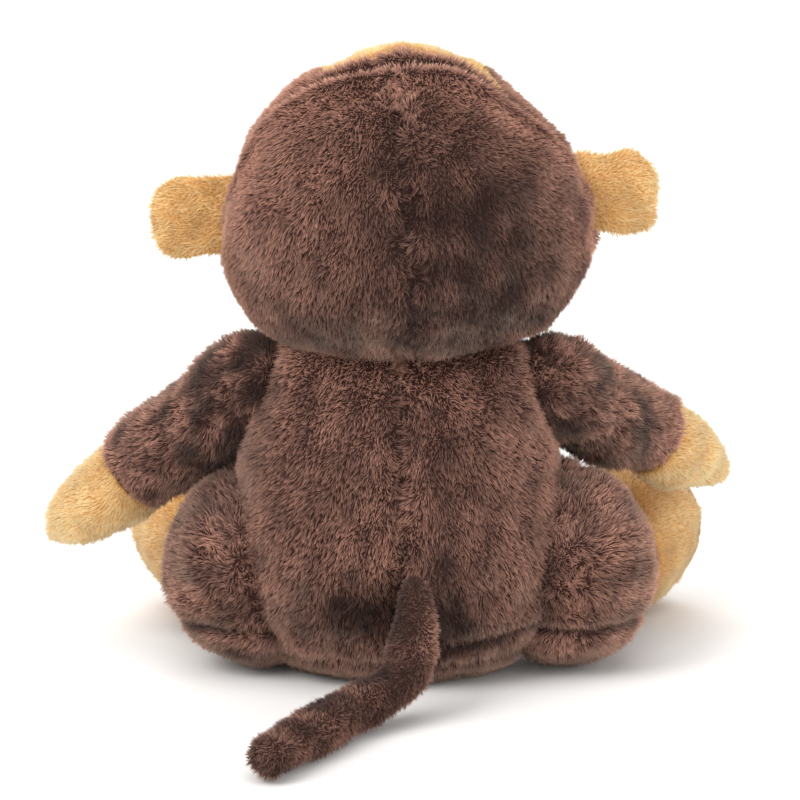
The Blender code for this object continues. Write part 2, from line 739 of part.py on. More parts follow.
def make_sole():
    """The foot's end panel: a shallow dome that closes it."""
    end, half_height, half_width, centre_height = (size * MM for size in FOOT_OUTLINE[-1])
    start = end + GAP / 2
    rings = []
    for share in SOLE_SHARES:
        along = start + SOLE_BULGE * (1 - share**4) ** 0.5
        rings.append(limb_ring(along, half_height * share, half_width * share, centre_height, 0, LEG_SIDES))
    return loft(rings, end_tip=(start + SOLE_BULGE, 0, centre_height))


# ---------------------------------------------------------------- tail


def smooth_path(points, per_span):
    """Points along a Catmull-Rom curve through these points."""
    points = [np.array(p, float) for p in points]
    padded = [2 * points[0] - points[1]] + points + [2 * points[-1] - points[-2]]
    path = []
    for i in range(1, len(padded) - 2):
        before, start, end, after = padded[i - 1 : i + 3]
        for step in range(per_span):
            t = step / per_span
            path.append(
                0.5
                * (
                    2 * start
                    + (end - before) * t
                    + (2 * before - 5 * start + 4 * end - after) * t**2
                    + (3 * start - before - 3 * end + after) * t**3
                )
            )
    return path + [points[-1]]


def tail_radius(share):
    """The tail's radius at a share of its length: narrow in the seam, soon full, a little less later."""
    widened = min(1.0, share / TAIL_WIDENS_OVER)
    full = TAIL_RADIUS + (TAIL_TIP_RADIUS - TAIL_RADIUS) * share
    return TAIL_ROOT_RADIUS + (full - TAIL_ROOT_RADIUS) * widened


def tail_rings(inset):
    """Rings across the tail about its pivot, from its rounded root to its rounded tip, and its two ends."""
    path = [Vector(p) * MM for p in smooth_path(TAIL_POINTS, 2)]
    root, end = path[0], path[-1]
    root_heading = (path[1] - root).normalized()
    end_heading = (end - path[-2]).normalized()
    root_radius = TAIL_ROOT_RADIUS - inset
    end_radius = TAIL_TIP_RADIUS - inset
    stations = []
    for turn in (math.radians(d) for d in (30, 60)):
        centre = root - root_heading * root_radius * math.cos(turn)
        stations.append((centre, root_heading, root_radius * math.sin(turn)))
    for i, point in enumerate(path):
        heading = (path[min(i + 1, len(path) - 1)] - path[max(i - 1, 0)]).normalized()
        stations.append((point, heading, tail_radius(i / (len(path) - 1)) - inset))
    for turn in (math.radians(d) for d in (35, 65)):
        centre = end + end_heading * end_radius * math.sin(turn)
        stations.append((centre, end_heading, end_radius * math.cos(turn)))
    rings = []
    for centre, heading, radius in stations:
        across = heading.cross(Vector((1, 0, 0))).normalized()
        above = across.cross(heading)
        section = power_ring(radius, radius, 2, TAIL_SIDES)
        rings.append([centre - root + across * a + above * b for a, b in section])
    return rings, -root_heading * root_radius, end - root + end_heading * end_radius


def make_tail():
    tail = pivot("tail_pivot", Vector(TAIL_POINTS[0]) * MM)
    outer, _, outer_tip = tail_rings(0)
    inner, _, inner_tip = tail_rings(TAIL_CLOTH)
    finish(open_cup(outer, inner, outer_tip, inner_tip), "tail_sleeve", BROWN_PLUSH, tail)
    filling, root_tip, end_tip = tail_rings(TAIL_CLOTH + 2 * GAP)
    finish(loft(filling, start_tip=root_tip, end_tip=end_tip), "tail_stuffing", WADDING, tail)


def main():
    clear_scene()
    make_torso()
    make_head()
    for name, side in SIDES:
        make_arm(name, side)
        make_leg(name, side)
    make_tail()


main()
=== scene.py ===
"""Seated plush monkey: fabric skins shaped over the CAD bodies, each covered with short combed pile.

Metres, +Z up. The monkey faces -Y and its left side is +X. It is seen from behind, as photographed.
"""

import math

import bpy
import numpy as np
from mathutils import Matrix, Vector
from mathutils.bvhtree import BVHTree


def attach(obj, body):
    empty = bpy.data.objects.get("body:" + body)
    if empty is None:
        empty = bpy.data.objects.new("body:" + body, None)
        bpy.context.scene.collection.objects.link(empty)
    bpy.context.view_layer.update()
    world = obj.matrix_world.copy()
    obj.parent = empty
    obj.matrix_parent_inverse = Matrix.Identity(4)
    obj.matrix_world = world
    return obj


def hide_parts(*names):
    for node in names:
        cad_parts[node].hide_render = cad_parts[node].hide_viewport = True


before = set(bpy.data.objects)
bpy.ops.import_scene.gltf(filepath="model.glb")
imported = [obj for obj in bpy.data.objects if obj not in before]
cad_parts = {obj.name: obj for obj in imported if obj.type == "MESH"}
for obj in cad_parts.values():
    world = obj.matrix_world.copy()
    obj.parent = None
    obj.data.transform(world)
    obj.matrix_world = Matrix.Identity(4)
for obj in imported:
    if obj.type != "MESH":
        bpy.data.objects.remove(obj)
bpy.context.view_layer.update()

MM = 0.001
SIDES = (("left", 1), ("right", -1))  # each side's name and the sign of its X

CAMERA_AIM = Vector((0, 0, 0.0855))
CAMERA_DISTANCE = 1.1
CAMERA_ELEVATION = math.radians(12)
CAMERA_LENS = 158.6
CAMERA_SENSOR = 36
FLOOR_HALF = 12.0
# (name, direction from the model, apparent size in degrees, strength, colour)
SUNS = (
    ("key", (0.9, 0.75, 1.0), 35, 1.7, (1, 0.99, 0.97)),
    ("top", (0.0, 0.25, 1.0), 60, 1.3, (1, 0.99, 0.98)),
    ("right", (-1.0, 0.55, 0.5), 50, 1.0, (1, 0.99, 0.97)),
    ("front", (0.2, -1.0, 0.7), 50, 1.3, (1, 0.99, 0.98)),
)
WALL_STRENGTH = 1.0
CEILING_STRENGTH = 0.4
WALL_TO_CEILING = (0.18, 0.45)  # the heights, as sines, between which one fades into the other

# Pile: colours (root, middle, tip), the sheen's tint, and the shades (darkest, lightest) of a tuft
# A tuft's dark root is partly painted shade deep in the pile; the two shades span the painted light and
# shade of its shade attribute
BROWN_PILE = (
    ((0.024, 0.01, 0.009), (0.185, 0.09, 0.072), (0.54, 0.3, 0.228)),
    (0.8, 0.6, 0.47),
    ((0.2, 0.19, 0.21), (1.84, 1.82, 1.74)),
)
TAN_PILE = (
    ((0.68, 0.37, 0.13), (0.9, 0.6, 0.26), (0.96, 0.78, 0.44)),
    (1.0, 0.88, 0.68),
    ((0.78, 0.62, 0.48), (1.2, 1.3, 1.44)),
)
# Other materials: the darkest and the lightest colour
BROWN_BACKING = ((0.03, 0.013, 0.01), (0.07, 0.034, 0.027))
TAN_BACKING = ((0.5, 0.25, 0.08), (0.78, 0.46, 0.18))
NOSE_PLASTIC = ((0.02, 0.01, 0.008), (0.045, 0.024, 0.019))
WASHER_PLASTIC = ((0.72, 0.72, 0.7), (0.84, 0.84, 0.82))
MOUTH_THREAD = ((0.012, 0.006, 0.005), (0.05, 0.028, 0.022))
EYE_BLACK = (0.004, 0.003, 0.003, 1)
# The eye's brown ring: (share of the radius, colour)
EYE_RING = ((0.64, (0.06, 0.022, 0.008, 1)), (0.84, (0.16, 0.06, 0.02, 1)))
NOISE_RANGE = (0.3, 0.7)  # nearly all of a noise node's values lie in it

SKIN_DEPTH = 1.7 * MM  # the fabric's woven face lies this far inside the soft outline of its pile
SKIN_CLEARANCE = 0.6 * MM  # the lowest fabric is held this far above the floor
PILE_CLEARANCE = 0.25 * MM  # and the lowest pile this far
BURIED_DEPTH = 5 * MM  # no pile grows where a skin is this deep inside its neighbour
TUFT_RADIUS = 0.19 * MM
TUFT_ROOT_DEPTH = 0.5 * MM
TUFT_LEAN = 40  # degrees from straight out
TUFT_DENSITY = 4.2e6  # tufts in a square metre
LONG_PILE = 2.8 * MM
SHORT_PILE = 2.4 * MM
CURVE_STEPS = 24  # steps from one point of a smooth curve to the next

# Outlines are in millimetres. Torso: (height, half width, half depth) from the seat up to the neck
TORSO_OUTLINE = (
    (0, 0, 0),
    (0, 28, 20),
    (3, 35, 27),
    (10, 42, 34.5),
    (24, 49.5, 41),
    (42, 52.5, 43.5),
    (60, 51.5, 41.5),
    (78, 48.5, 37),
    (90, 45, 32),
    (98, 42, 26),
    (104, 39, 21),
    (110, 28, 15),
    (113, 12, 8),
    (114, 0, 0),
)
TORSO_POWER = 2.5  # 2 is an ellipse, more is squarer
SEAT_SEAM_HEIGHT = 9 * MM

# Head: an egg, widest low down, that tips to its left
HEAD_CENTRE = Vector((-2, -3, 137)) * MM
HEAD_RADII = (57.5 * MM, 50 * MM)
HEAD_ABOVE = 61 * MM
HEAD_BELOW = 37 * MM
HEAD_POWER_ROUND = 2.15
HEAD_POWER_ABOVE = 1.9
HEAD_POWER_BELOW = 2.4
HEAD_TILT = math.radians(3.5)
BACK_SEAM_ANGLE = math.radians(67)
EAR_LINE_HEIGHT = 9.5 * MM
FACE_HALF_WIDTH = 43 * MM
FACE_ABOVE = 64 * MM
FACE_BELOW = 31 * MM
FACE_BACK = 10 * MM
FACE_LEAN = 0.02  # the face panel tips a little less than the head does
FACE_TAPER = 0.06  # how much narrower it is at the top
# (how far it stands out, centre, size) in millimetres: the crown is flatter on its right and fuller on
# its left, and the head rests full on the right shoulder
HEAD_FULLNESS = (
    (-2.4, (-40, 0, 42), (17, 90, 17)),
    (1.4, (36, 0, 44), (14, 90, 12)),
    (1.8, (-36, 0, -29), (9, 40, 8)),
)

MUZZLE_CENTRE = np.array((0, -45, -7)) * MM
MUZZLE_RADII = np.array((28, 19, 18.5)) * MM
EYE_DIRECTION = (17, -44, 22)
EYE_RADIUS = 6 * MM
EYE_HEIGHT = 4.2 * MM
EYE_RIM_HEIGHT = 1.2 * MM
EYE_SIDES = 64
NOSE_RADII = np.array((7, 4, 4.6)) * MM
NOSE_RAISE = 9 * MM
NOSTRIL_PLACE = (2.7, -3.2, -1.6)
NOSTRIL_SIZE = (1.2, 2, 1.1)
NOSTRIL_DEPTH = 1.1 * MM
MOUTH_HALF_WIDTH = 11 * MM
MOUTH_DROP = 3 * MM
MOUTH_SAG = 3.5 * MM
THREAD_RADIUS = 0.65 * MM
MOUTH_STITCHES = 9
STITCH_OVERLAP = 0.56  # half of a stitch's length, as a share of the way between its two holes
STITCH_RINGS = 16
STITCH_SIDES = 14
STITCH_TWIST = 0.25 * MM
PROUD = np.array((0, -0.5, 0)) * MM  # how far the nose and the thread stand out of the muzzle
# The bare margins that are left in the pile
EYE_MARGIN = 0.3 * MM
NOSE_MARGIN = 0.4 * MM
MOUTH_MARGIN = 1.7 * MM

EAR_PIVOT_OUT = 62.2 * MM
EAR_LENGTH = 17
EAR_HALF_HEIGHT = 15
EAR_HALF_THICKNESS = 4.6
EAR_RIM_POWER = 2.7

# Limbs: (distance from the pivot, half height, half width, height of the centre)
ARM_PIVOT = (49, -2, 89.5)
ARM_AIMS = {"left": (0.725, -0.3, -0.62), "right": (-0.65, -0.61, -0.45)}
ARM_ROOT_RADIUS = 17
ARM_ROOT_REACH = 1.15  # the shoulder is a little long, so that it fills the corner under the head
SLEEVE_OUTLINE = (
    (0, 17, 17, 0),
    (6, 17, 16.6, -0.5),
    (11, 16.8, 15.8, -1),
    (16, 16.6, 15, -1.2),
    (25, 16.4, 14.6, -0.9),
    (38, 15.3, 14.2, -0.2),
    (46, 14.2, 13.4, 0),
    (49.5, 12.4, 11.8, 0),
    (50, 0, 0, 0),
)
HAND_OUTLINE = (
    (48, 0, 0, 0),
    (48.5, 12.2, 11.4, 0),
    (52, 13.8, 12.8, 0),
    (59, 13.8, 12.3, 0),
    (69, 12.5, 10.5, 0),
    (78, 9.9, 8.5, 0),
    (85, 6.8, 6.2, 0),
    (89, 3.6, 3.4, 0),
    (90.5, 0, 0, 0),
)
LEG_PIVOTS = {"left": (42.5, 3, 33.5), "right": (-49, 3, 33.5)}
LEG_SPLAY = {"left": math.radians(17), "right": math.radians(21)}
LEG_ROOT_RADIUS = 33
LEG_ROOT_REACH = 0.76  # the hip is flattened at the back, where the torso covers it
LEG_SEAM_HEIGHT = -16 * MM  # from the leg's middle line
LEG_OUTLINE = (
    (0, 33.6, 33, 0.6),
    (9, 31.8, 30.8, -0.6),
    (18, 27.4, 26.4, -4.6),
    (30, 23.6, 22.2, -9.4),
    (43, 20.8, 19.6, -12.4),
    (53, 19.2, 18, -13.5),
    (56.5, 17, 16, -13.5),
    (57, 0, 0, -13.5),
)
FOOT_OUTLINE = (
    (55, 0, 0, -13.5),
    (55.5, 17, 16, -13.5),
    (59, 20.4, 18.8, -12.4),
    (64, 21.8, 19.8, -11),
    (73, 24.4, 22, -8.6),
    (82, 25.2, 23, -7.8),
    (88.5, 24, 22.4, -7.8),
    (90.5, 22, 20.4, -7.8),
    (91, 0, 0, -7.8),
)
SOLE_OUTLINE = (
    (89, 0, 0, -7.8),
    (89.5, 21.6, 20, -7.8),
    (91.5, 22.2, 20.6, -7.8),
    (93.6, 17, 16, -7.8),
    (94.6, 9, 8.5, -7.8),
    (94.8, 0, 0, -7.8),
)

# Where the pile of one piece of a limb ends and that of the next starts, in millimetres from the pivot
SLEEVE_PILE_END = 49.8
HAND_PILE_START = 49
LEG_PILE_END = 56.8
FOOT_PILE_START = 56
SOLE_PILE_START = 90

TAIL_POINTS = (
    (-5, 40, 39),
    (-5, 48, 34),
    (-4.6, 56, 26),
    (-1.5, 63, 15.5),
    (8, 70, 9.4),
    (20, 86, 8),
    (37, 118, 7.4),
)
# (share of the tail's length, radius)
TAIL_WIDTHS = ((0, 3.6), (0.08, 5), (0.26, 8.2), (0.75, 7.9), (1, 7.4))

# (painted light (+) or painted shade (-) over the whole of the limb's pile, painted shade in the crevice
# beside the torso)
LIMB_TONES = {
    "left": {"arm": (0.1, 0.6), "leg": (-0.1, 0.8)},
    "right": {"arm": (0.2, 0.2), "leg": (0.35, 0.0)},
}
# Places painted light (+) or painted shade (-): (how much, centre, size), in millimetres
HEAD_PATCHES = (
    (0.4, (26, 40, 26), (18, 60, 18)),
    (-0.45, (-8, 45, 14), (18, 60, 22)),
    (-0.5, (-27, 45, 10), (15, 60, 20)),
    (-1.1, (-25, 40, -20), (22, 60, 13)),
    (-1.0, (28, 40, -24), (24, 60, 9)),
    (0.4, (44, 30, 13), (12, 60, 14)),
)
TORSO_PATCHES = (
    (0.3, (12, 40, 60), (24, 60, 20)),
    (0.3, (-28, 40, 52), (14, 60, 30)),
    (1.2, (10, 30, 102), (32, 60, 11)),
    (0.6, (3, 40, 48), (9, 60, 13)),
    (0.6, (20, 40, 13), (18, 60, 6)),
    (-1.4, (13, 40, 29), (15, 60, 8)),
    (-1.5, (-14, 40, 25), (11, 60, 12)),
    (-0.3, (-13, 40, 43), (8, 60, 14)),
    (0.5, (-43, 15, 90), (7, 40, 14)),
    (-0.7, (42, 15, 92), (7, 40, 14)),
)


# ---------------- camera, lights and floor


def make_camera():
    scene = bpy.context.scene
    scene.view_settings.view_transform = "Standard"
    camera = bpy.data.objects.new("camera", bpy.data.cameras.new("camera"))
    scene.collection.objects.link(camera)
    scene.camera = camera
    back = Vector((0, math.cos(CAMERA_ELEVATION), math.sin(CAMERA_ELEVATION)))
    camera.location = CAMERA_AIM + back * CAMERA_DISTANCE
    camera.rotation_euler = (-back).to_track_quat("-Z", "Y").to_euler()
    camera.data.lens = CAMERA_LENS
    camera.data.sensor_width = CAMERA_SENSOR
    camera.data.clip_start = 0.02


def make_lights():
    """White walls all round, a dimmer ceiling, and broad soft lamps."""
    world = bpy.data.worlds.new("studio")
    bpy.context.scene.world = world
    world.use_nodes = True
    sky = world.node_tree
    background = sky.nodes["Background"]
    background.inputs["Color"].default_value = (1, 0.99, 0.98, 1)
    height = add(sky, "SeparateXYZ", Vector=add(sky, "TexCoord").outputs["Generated"]).outputs["Z"]
    strength = scaled(sky, height, *WALL_TO_CEILING, WALL_STRENGTH, CEILING_STRENGTH)
    sky.links.new(strength, background.inputs["Strength"])
    for name, towards, softness, power, colour in SUNS:
        light = bpy.data.lights.new(name, "SUN")
        light.angle = math.radians(softness)
        light.energy = power
        light.color = colour
        lamp = bpy.data.objects.new(name, light)
        bpy.context.scene.collection.objects.link(lamp)
        lamp.location = towards
        lamp.rotation_euler = (-Vector(towards)).to_track_quat("-Z", "Y").to_euler()


def make_floor():
    mesh = bpy.data.meshes.new("floor")
    corners = [(x * FLOOR_HALF, y * FLOOR_HALF, 0) for x, y in ((-1, -1), (1, -1), (1, 1), (-1, 1))]
    mesh.from_pydata(corners, [], [(0, 1, 2, 3)])
    floor = bpy.data.objects.new("floor", mesh)
    bpy.context.scene.collection.objects.link(floor)
    look, tree, shader = new_material("floor_paper")
    grain = add(tree, "TexNoise", Scale=35.0, Detail=4.0)
    pale = mix_colours(tree, grain.outputs["Fac"], (0.9, 0.895, 0.885, 1), (0.93, 0.925, 0.92, 1))
    tree.links.new(pale, shader.inputs["Base Color"])
    shader.inputs["Roughness"].default_value = 0.9
    mesh.materials.append(look)


# ---------------- materials


def new_material(name):
    look = bpy.data.materials.new(name)
    look.use_nodes = True
    return look, look.node_tree, look.node_tree.nodes["Principled BSDF"]


def feed(tree, socket, value):
    """Links an input to a socket, or sets it to a value."""
    if isinstance(value, bpy.types.NodeSocket):
        tree.links.new(value, socket)
    else:
        socket.default_value = value


def add(tree, kind, settings=None, **inputs):
    """A shader node with its settings made, and its inputs set or linked."""
    node = tree.nodes.new("ShaderNode" + kind)
    for name, value in (settings or {}).items():
        setattr(node, name, value)
    for name, value in inputs.items():
        feed(tree, node.inputs[name], value)
    return node


def add_math(tree, operation, *values):
    node = add(tree, "Math", {"operation": operation})
    for socket, value in zip(node.inputs, values):
        feed(tree, socket, value)
    return node.outputs[0]


def mix_colours(tree, factor, first, second, blend="MIX"):
    node = tree.nodes.new("ShaderNodeMix")
    node.data_type = "RGBA"
    node.blend_type = blend
    # A colour mix's own sockets are these, among those for the other types of data
    for i, value in ((0, factor), (6, first), (7, second)):
        feed(tree, node.inputs[i], value)
    return node.outputs[2]


def scaled(tree, value, low, high, out_low, out_high):
    node = add(tree, "MapRange", Value=value)
    limits = {"From Min": low, "From Max": high, "To Min": out_low, "To Max": out_high}
    for name, number in limits.items():
        node.inputs[name].default_value = number
    return node.outputs["Result"]


def pile_material(name, colours, sheen, shades):
    """Plush: each tuft goes from a dark root, partly painted shade deep in the pile, to a light tip, and
    is tinted between two shades by its shade attribute, which carries painted light and shade.
    """
    look, tree, shader = new_material(name)
    along = add(tree, "Attribute", {"attribute_name": "along"}).outputs["Fac"]
    shade = add(tree, "Attribute", {"attribute_name": "shade"}).outputs["Fac"]
    ramp = add(tree, "ValToRGB", Fac=along)
    root, middle, tip = ((*colour, 1) for colour in colours)
    ramp.color_ramp.elements[0].color = root
    ramp.color_ramp.elements[1].color = tip
    ramp.color_ramp.elements.new(0.5).color = middle
    where = add(tree, "TexCoord").outputs["Object"]
    patches = add(tree, "TexNoise", Vector=where, Scale=90.0, Detail=3.0, Roughness=0.6).outputs["Fac"]
    fibres = add(tree, "TexNoise", Vector=where, Scale=1400.0, Detail=2.0).outputs["Fac"]
    uneven = scaled(tree, patches, *NOISE_RANGE, 0.88, 1.12)
    strands = scaled(tree, fibres, *NOISE_RANGE, 0.88, 1.12)
    tint = mix_colours(tree, shade, (*shades[0], 1), (*shades[1], 1))
    tinted = mix_colours(tree, 1.0, ramp.outputs["Color"], tint, "MULTIPLY")
    factor = add_math(tree, "MULTIPLY", uneven, strands)
    colour = add(tree, "VectorMath", {"operation": "SCALE"}, Scale=factor)
    tree.links.new(tinted, colour.inputs[0])
    tree.links.new(colour.outputs["Vector"], shader.inputs["Base Color"])
    tree.links.new(scaled(tree, shade, 0.0, 1.0, 0.62, 0.82), shader.inputs["Roughness"])
    shader.inputs["Sheen Weight"].default_value = 0.35
    shader.inputs["Sheen Roughness"].default_value = 0.45
    shader.inputs["Sheen Tint"].default_value = (*sheen, 1)
    shader.inputs["Specular IOR Level"].default_value = 0.25
    return look


def backing_material(name, dark, light):
    """The woven face under the pile: mottled, with the stubs of the shortest fibres."""
    look, tree, shader = new_material(name)
    where = add(tree, "TexCoord").outputs["Object"]
    stubs = add(tree, "TexNoise", Vector=where, Scale=1100.0, Detail=3.0, Roughness=0.65).outputs["Fac"]
    patches = add(tree, "TexNoise", Vector=where, Scale=110.0, Detail=3.0).outputs["Fac"]
    mottled = mix_colours(tree, scaled(tree, stubs, 0.35, 0.65, 0.0, 1.0), (*dark, 1), (*light, 1))
    shaded = mix_colours(tree, scaled(tree, patches, *NOISE_RANGE, 0.0, 0.45), mottled, (*dark, 1))
    tree.links.new(shaded, shader.inputs["Base Color"])
    tree.links.new(scaled(tree, stubs, *NOISE_RANGE, 0.75, 0.95), shader.inputs["Roughness"])
    bump = add(tree, "Bump", Strength=0.7, Distance=0.0006, Height=stubs)
    tree.links.new(bump.outputs["Normal"], shader.inputs["Normal"])
    shader.inputs["Specular IOR Level"].default_value = 0.15
    return look


def moulded_material(name, dark, light, roughness):
    """Moulded plastic with faint flow marks and a slightly uneven gloss."""
    look, tree, shader = new_material(name)
    where = add(tree, "TexCoord").outputs["Object"]
    flow = add(tree, "TexNoise", Vector=where, Scale=160.0, Detail=4.0).outputs["Fac"]
    fine = add(tree, "TexNoise", Vector=where, Scale=1800.0, Detail=2.0).outputs["Fac"]
    tree.links.new(mix_colours(tree, flow, (*dark, 1), (*light, 1)), shader.inputs["Base Color"])
    gloss = scaled(tree, fine, *NOISE_RANGE, roughness * 0.8, roughness * 1.25)
    tree.links.new(gloss, shader.inputs["Roughness"])
    bump = add(tree, "Bump", Strength=0.08, Distance=0.0001, Height=fine)
    tree.links.new(bump.outputs["Normal"], shader.inputs["Normal"])
    shader.inputs["Coat Weight"].default_value = 0.3
    return look


def eye_material():
    """A glossy plastic eye: a black pupil and rim with a brown ring between them."""
    look, tree, shader = new_material("eye_gloss")
    out = add(tree, "Attribute", {"attribute_name": "out"}).outputs["Fac"]
    where = add(tree, "TexCoord").outputs["Object"]
    fibres = add(tree, "TexNoise", Vector=where, Scale=1500.0, Detail=3.0).outputs["Fac"]
    ramp = add(tree, "ValToRGB", Fac=add_math(tree, "MULTIPLY_ADD", fibres, 0.08, out))
    elements = ramp.color_ramp.elements
    for i, place in ((0, 0.58), (1, 0.93)):
        elements[i].color = EYE_BLACK
        elements[i].position = place
    for place, colour in EYE_RING:
        elements.new(place).color = colour
    tree.links.new(ramp.outputs["Color"], shader.inputs["Base Color"])
    tree.links.new(scaled(tree, fibres, *NOISE_RANGE, 0.05, 0.1), shader.inputs["Roughness"])
    shader.inputs["Specular IOR Level"].default_value = 0.35
    return look


def thread_material(name, dark, light):
    """Embroidery thread: fine fibres that catch the light."""
    look, tree, shader = new_material(name)
    where = add(tree, "TexCoord").outputs["Object"]
    fibres = add(tree, "TexNoise", Vector=where, Scale=3500.0, Detail=2.0).outputs["Fac"]
    tree.links.new(mix_colours(tree, fibres, (*dark, 1), (*light, 1)), shader.inputs["Base Color"])
    tree.links.new(scaled(tree, fibres, *NOISE_RANGE, 0.4, 0.65), shader.inputs["Roughness"])
    shader.inputs["Sheen Weight"].default_value = 0.3
    return look


# ---------------- curves, noise and grids


def unit(vectors):
    return vectors / np.maximum(np.linalg.norm(vectors, axis=-1, keepdims=True), 1e-12)


def smooth_curve(points, count):
    """A Catmull-Rom curve through these points, as points at even distances along it."""
    points = np.asarray(points, float)
    padded = np.concatenate([2 * points[:1] - points[1:2], points, 2 * points[-1:] - points[-2:-1]])
    t = np.linspace(0, 1, CURVE_STEPS, endpoint=False)[:, None]
    spans = []
    for before, start, end, after in zip(padded, padded[1:], padded[2:], padded[3:]):
        spans.append(
            0.5
            * (
                2 * start
                + (end - before) * t
                + (2 * before - 5 * start + 4 * end - after) * t**2
                + (3 * start - before - 3 * end + after) * t**3
            )
        )
    dense = np.concatenate(spans + [points[-1:]])
    along = np.concatenate([[0], np.cumsum(np.linalg.norm(np.diff(dense, axis=0), axis=1))])
    steps = np.linspace(0, along[-1], count)
    return np.stack([np.interp(steps, along, column) for column in dense.T], axis=1)


def waves(points, wavelength, seed, channels=1):
    """Smooth noise, about -1 to 1: a sum of sine waves in random directions."""
    rng = np.random.default_rng(seed)
    count = 10
    total = np.zeros(points.shape[:-1] + (channels,))
    for _ in range(count):
        directions = unit(rng.normal(size=(channels, 3)))
        stretch = math.tau / (wavelength * rng.uniform(0.7, 1.5, (channels, 1)))
        total += np.sin(points @ (directions * stretch).T + rng.uniform(0, math.tau, channels))
    total /= math.sqrt(count / 2)
    return total[..., 0] if channels == 1 else total


def superellipse(power, count):
    turn = np.linspace(0, math.tau, count, endpoint=False)
    points = np.stack([np.cos(turn), np.sin(turn)], axis=1)
    return points * (np.abs(points) ** power).sum(axis=1, keepdims=True) ** (-1 / power)


def grid_normals(grid):
    """The outward directions on a grid whose rows are closed rings, the first and last of them poles."""
    across = np.roll(grid, -1, axis=1) - np.roll(grid, 1, axis=1)
    along = np.gradient(grid, axis=0)
    normals = unit(np.cross(across, along))
    outward = (normals * (grid - grid.mean(axis=1, keepdims=True)))[2:-2].sum()
    if outward < 0:
        normals = -normals
    normals[0] = unit(normals[1].mean(axis=0))
    normals[-1] = unit(normals[-2].mean(axis=0))
    return normals


def grid_faces(points, normals):
    """The vertices and outward faces of a closed grid whose first and last rows are poles."""
    rows, columns = points.shape[:2]
    vertices = np.concatenate([points[1:-1].reshape(-1, 3), points[:1, 0], points[-1:, 0]])
    start, end = len(vertices) - 2, len(vertices) - 1
    faces = []
    for row in range(rows - 3):
        for column in range(columns):
            beside = (column + 1) % columns
            low, high = row * columns, (row + 1) * columns
            faces.append((low + column, low + beside, high + beside, high + column))
    middle = faces[len(faces) // 2]
    last = (rows - 3) * columns
    for column in range(columns):
        beside = (column + 1) % columns
        faces.append((start, beside, column))
        faces.append((end, last + column, last + beside))
    corner, second, third = vertices[list(middle[:3])]
    facing = np.cross(second - corner, third - corner)
    if facing @ normals[1:-1].reshape(-1, 3)[middle[0]] < 0:
        faces = [face[::-1] for face in faces]
    return vertices, faces


def band(distance, centre, width):
    """1 at a distance, fading to 0 about a width to each side of it."""
    return np.exp(-(((distance - centre) / width) ** 2))


def blob(points, centre, size):
    """1 at a place, fading to 0 about a size (both in millimetres) away from it."""
    away = (points - np.asarray(centre) * MM) / (np.asarray(size) * MM)
    return np.exp(-(away**2).sum(axis=-1))


def blobs(points, table):
    """The sum of some blobs, from a table of their (strength, centre, size)."""
    return sum(strength * blob(points, centre, size) for strength, centre, size in table)


def groove(distance, width, depth):
    """How far a seam draws the fabric in at this distance from it."""
    return -depth * band(distance, 0, width)


# ---------------- the forms of the parts


def torso_grid():
    profile = np.maximum(smooth_curve(TORSO_OUTLINE, 130), 0) * MM
    ring = superellipse(TORSO_POWER, 200)
    heights, widths, depths = profile.T[:, :, None]
    return np.stack([widths * ring[:, 0], depths * ring[:, 1], heights + 0 * ring[:, 0]], axis=2)


def head_surface(directions):
    """The head's outline in these directions from its centre."""
    above = directions[..., 2] > 0
    height = np.where(above, HEAD_ABOVE, HEAD_BELOW)
    power = np.where(above, HEAD_POWER_ABOVE, HEAD_POWER_BELOW)
    x = np.abs(directions[..., 0]) / HEAD_RADII[0]
    y = np.abs(directions[..., 1]) / HEAD_RADII[1]
    z = np.abs(directions[..., 2]) / height
    level = (x**HEAD_POWER_ROUND + y**HEAD_POWER_ROUND) ** (1 / HEAD_POWER_ROUND)
    return directions * ((level**power + z**power) ** (-1 / power))[..., None]


def ball_grid(radii, rows, columns):
    up = np.linspace(-math.pi / 2, math.pi / 2, rows)[:, None]
    turn = np.linspace(0, math.tau, columns, endpoint=False)[None, :]
    level = np.cos(up)
    ball = np.stack([level * np.cos(turn), level * np.sin(turn), np.sin(up) + 0 * turn], axis=2)
    return ball * np.asarray(radii)


def head_grid():
    return head_surface(ball_grid((*HEAD_RADII, HEAD_ABOVE), 150, 240))


def limb_grid(outline, rows, columns, root_radius=None, root_reach=1.0, power=2.0):
    """A limb along +X through an outline of (distance, half height, half width, centre height)."""
    start = []
    if root_radius:
        for turn in (math.radians(d) for d in (0, 30, 60)):
            size = root_radius * math.sin(turn)
            start.append((-root_radius * root_reach * math.cos(turn), size, size, 0))
    profile = smooth_curve(start + list(outline), rows) * MM
    along, heights, widths, centres = profile.T[:, :, None]
    ring = superellipse(power, columns)
    heights = np.maximum(heights, 0)
    widths = np.maximum(widths, 0)
    axes = [along + 0 * ring[:, 0], widths * ring[:, 1], centres + heights * ring[:, 0]]
    return np.stack(axes, axis=2)


def ear_grid():
    """An ear along +X from its seam: a padded rounded square."""
    outline = [(-12, 0, 0, 0), (-11.5, 12.6, 3.8, 0), (-5, 13.8, 4.4, 0)]
    for share in np.linspace(0, 0.98, 9):
        rounded = (1 - share**EAR_RIM_POWER) ** (1 / EAR_RIM_POWER)
        widened = 0.92 + 0.08 * min(1.0, share / 0.45)
        thick = EAR_HALF_THICKNESS * (1 - 0.25 * share) * min(1, 3 * (1 - share)) ** 0.4
        outline.append((EAR_LENGTH * share, EAR_HALF_HEIGHT * rounded * widened, thick, 0))
    outline.append((EAR_LENGTH, 0, 0, 0))
    return limb_grid(outline, 60, 90, power=2.4)


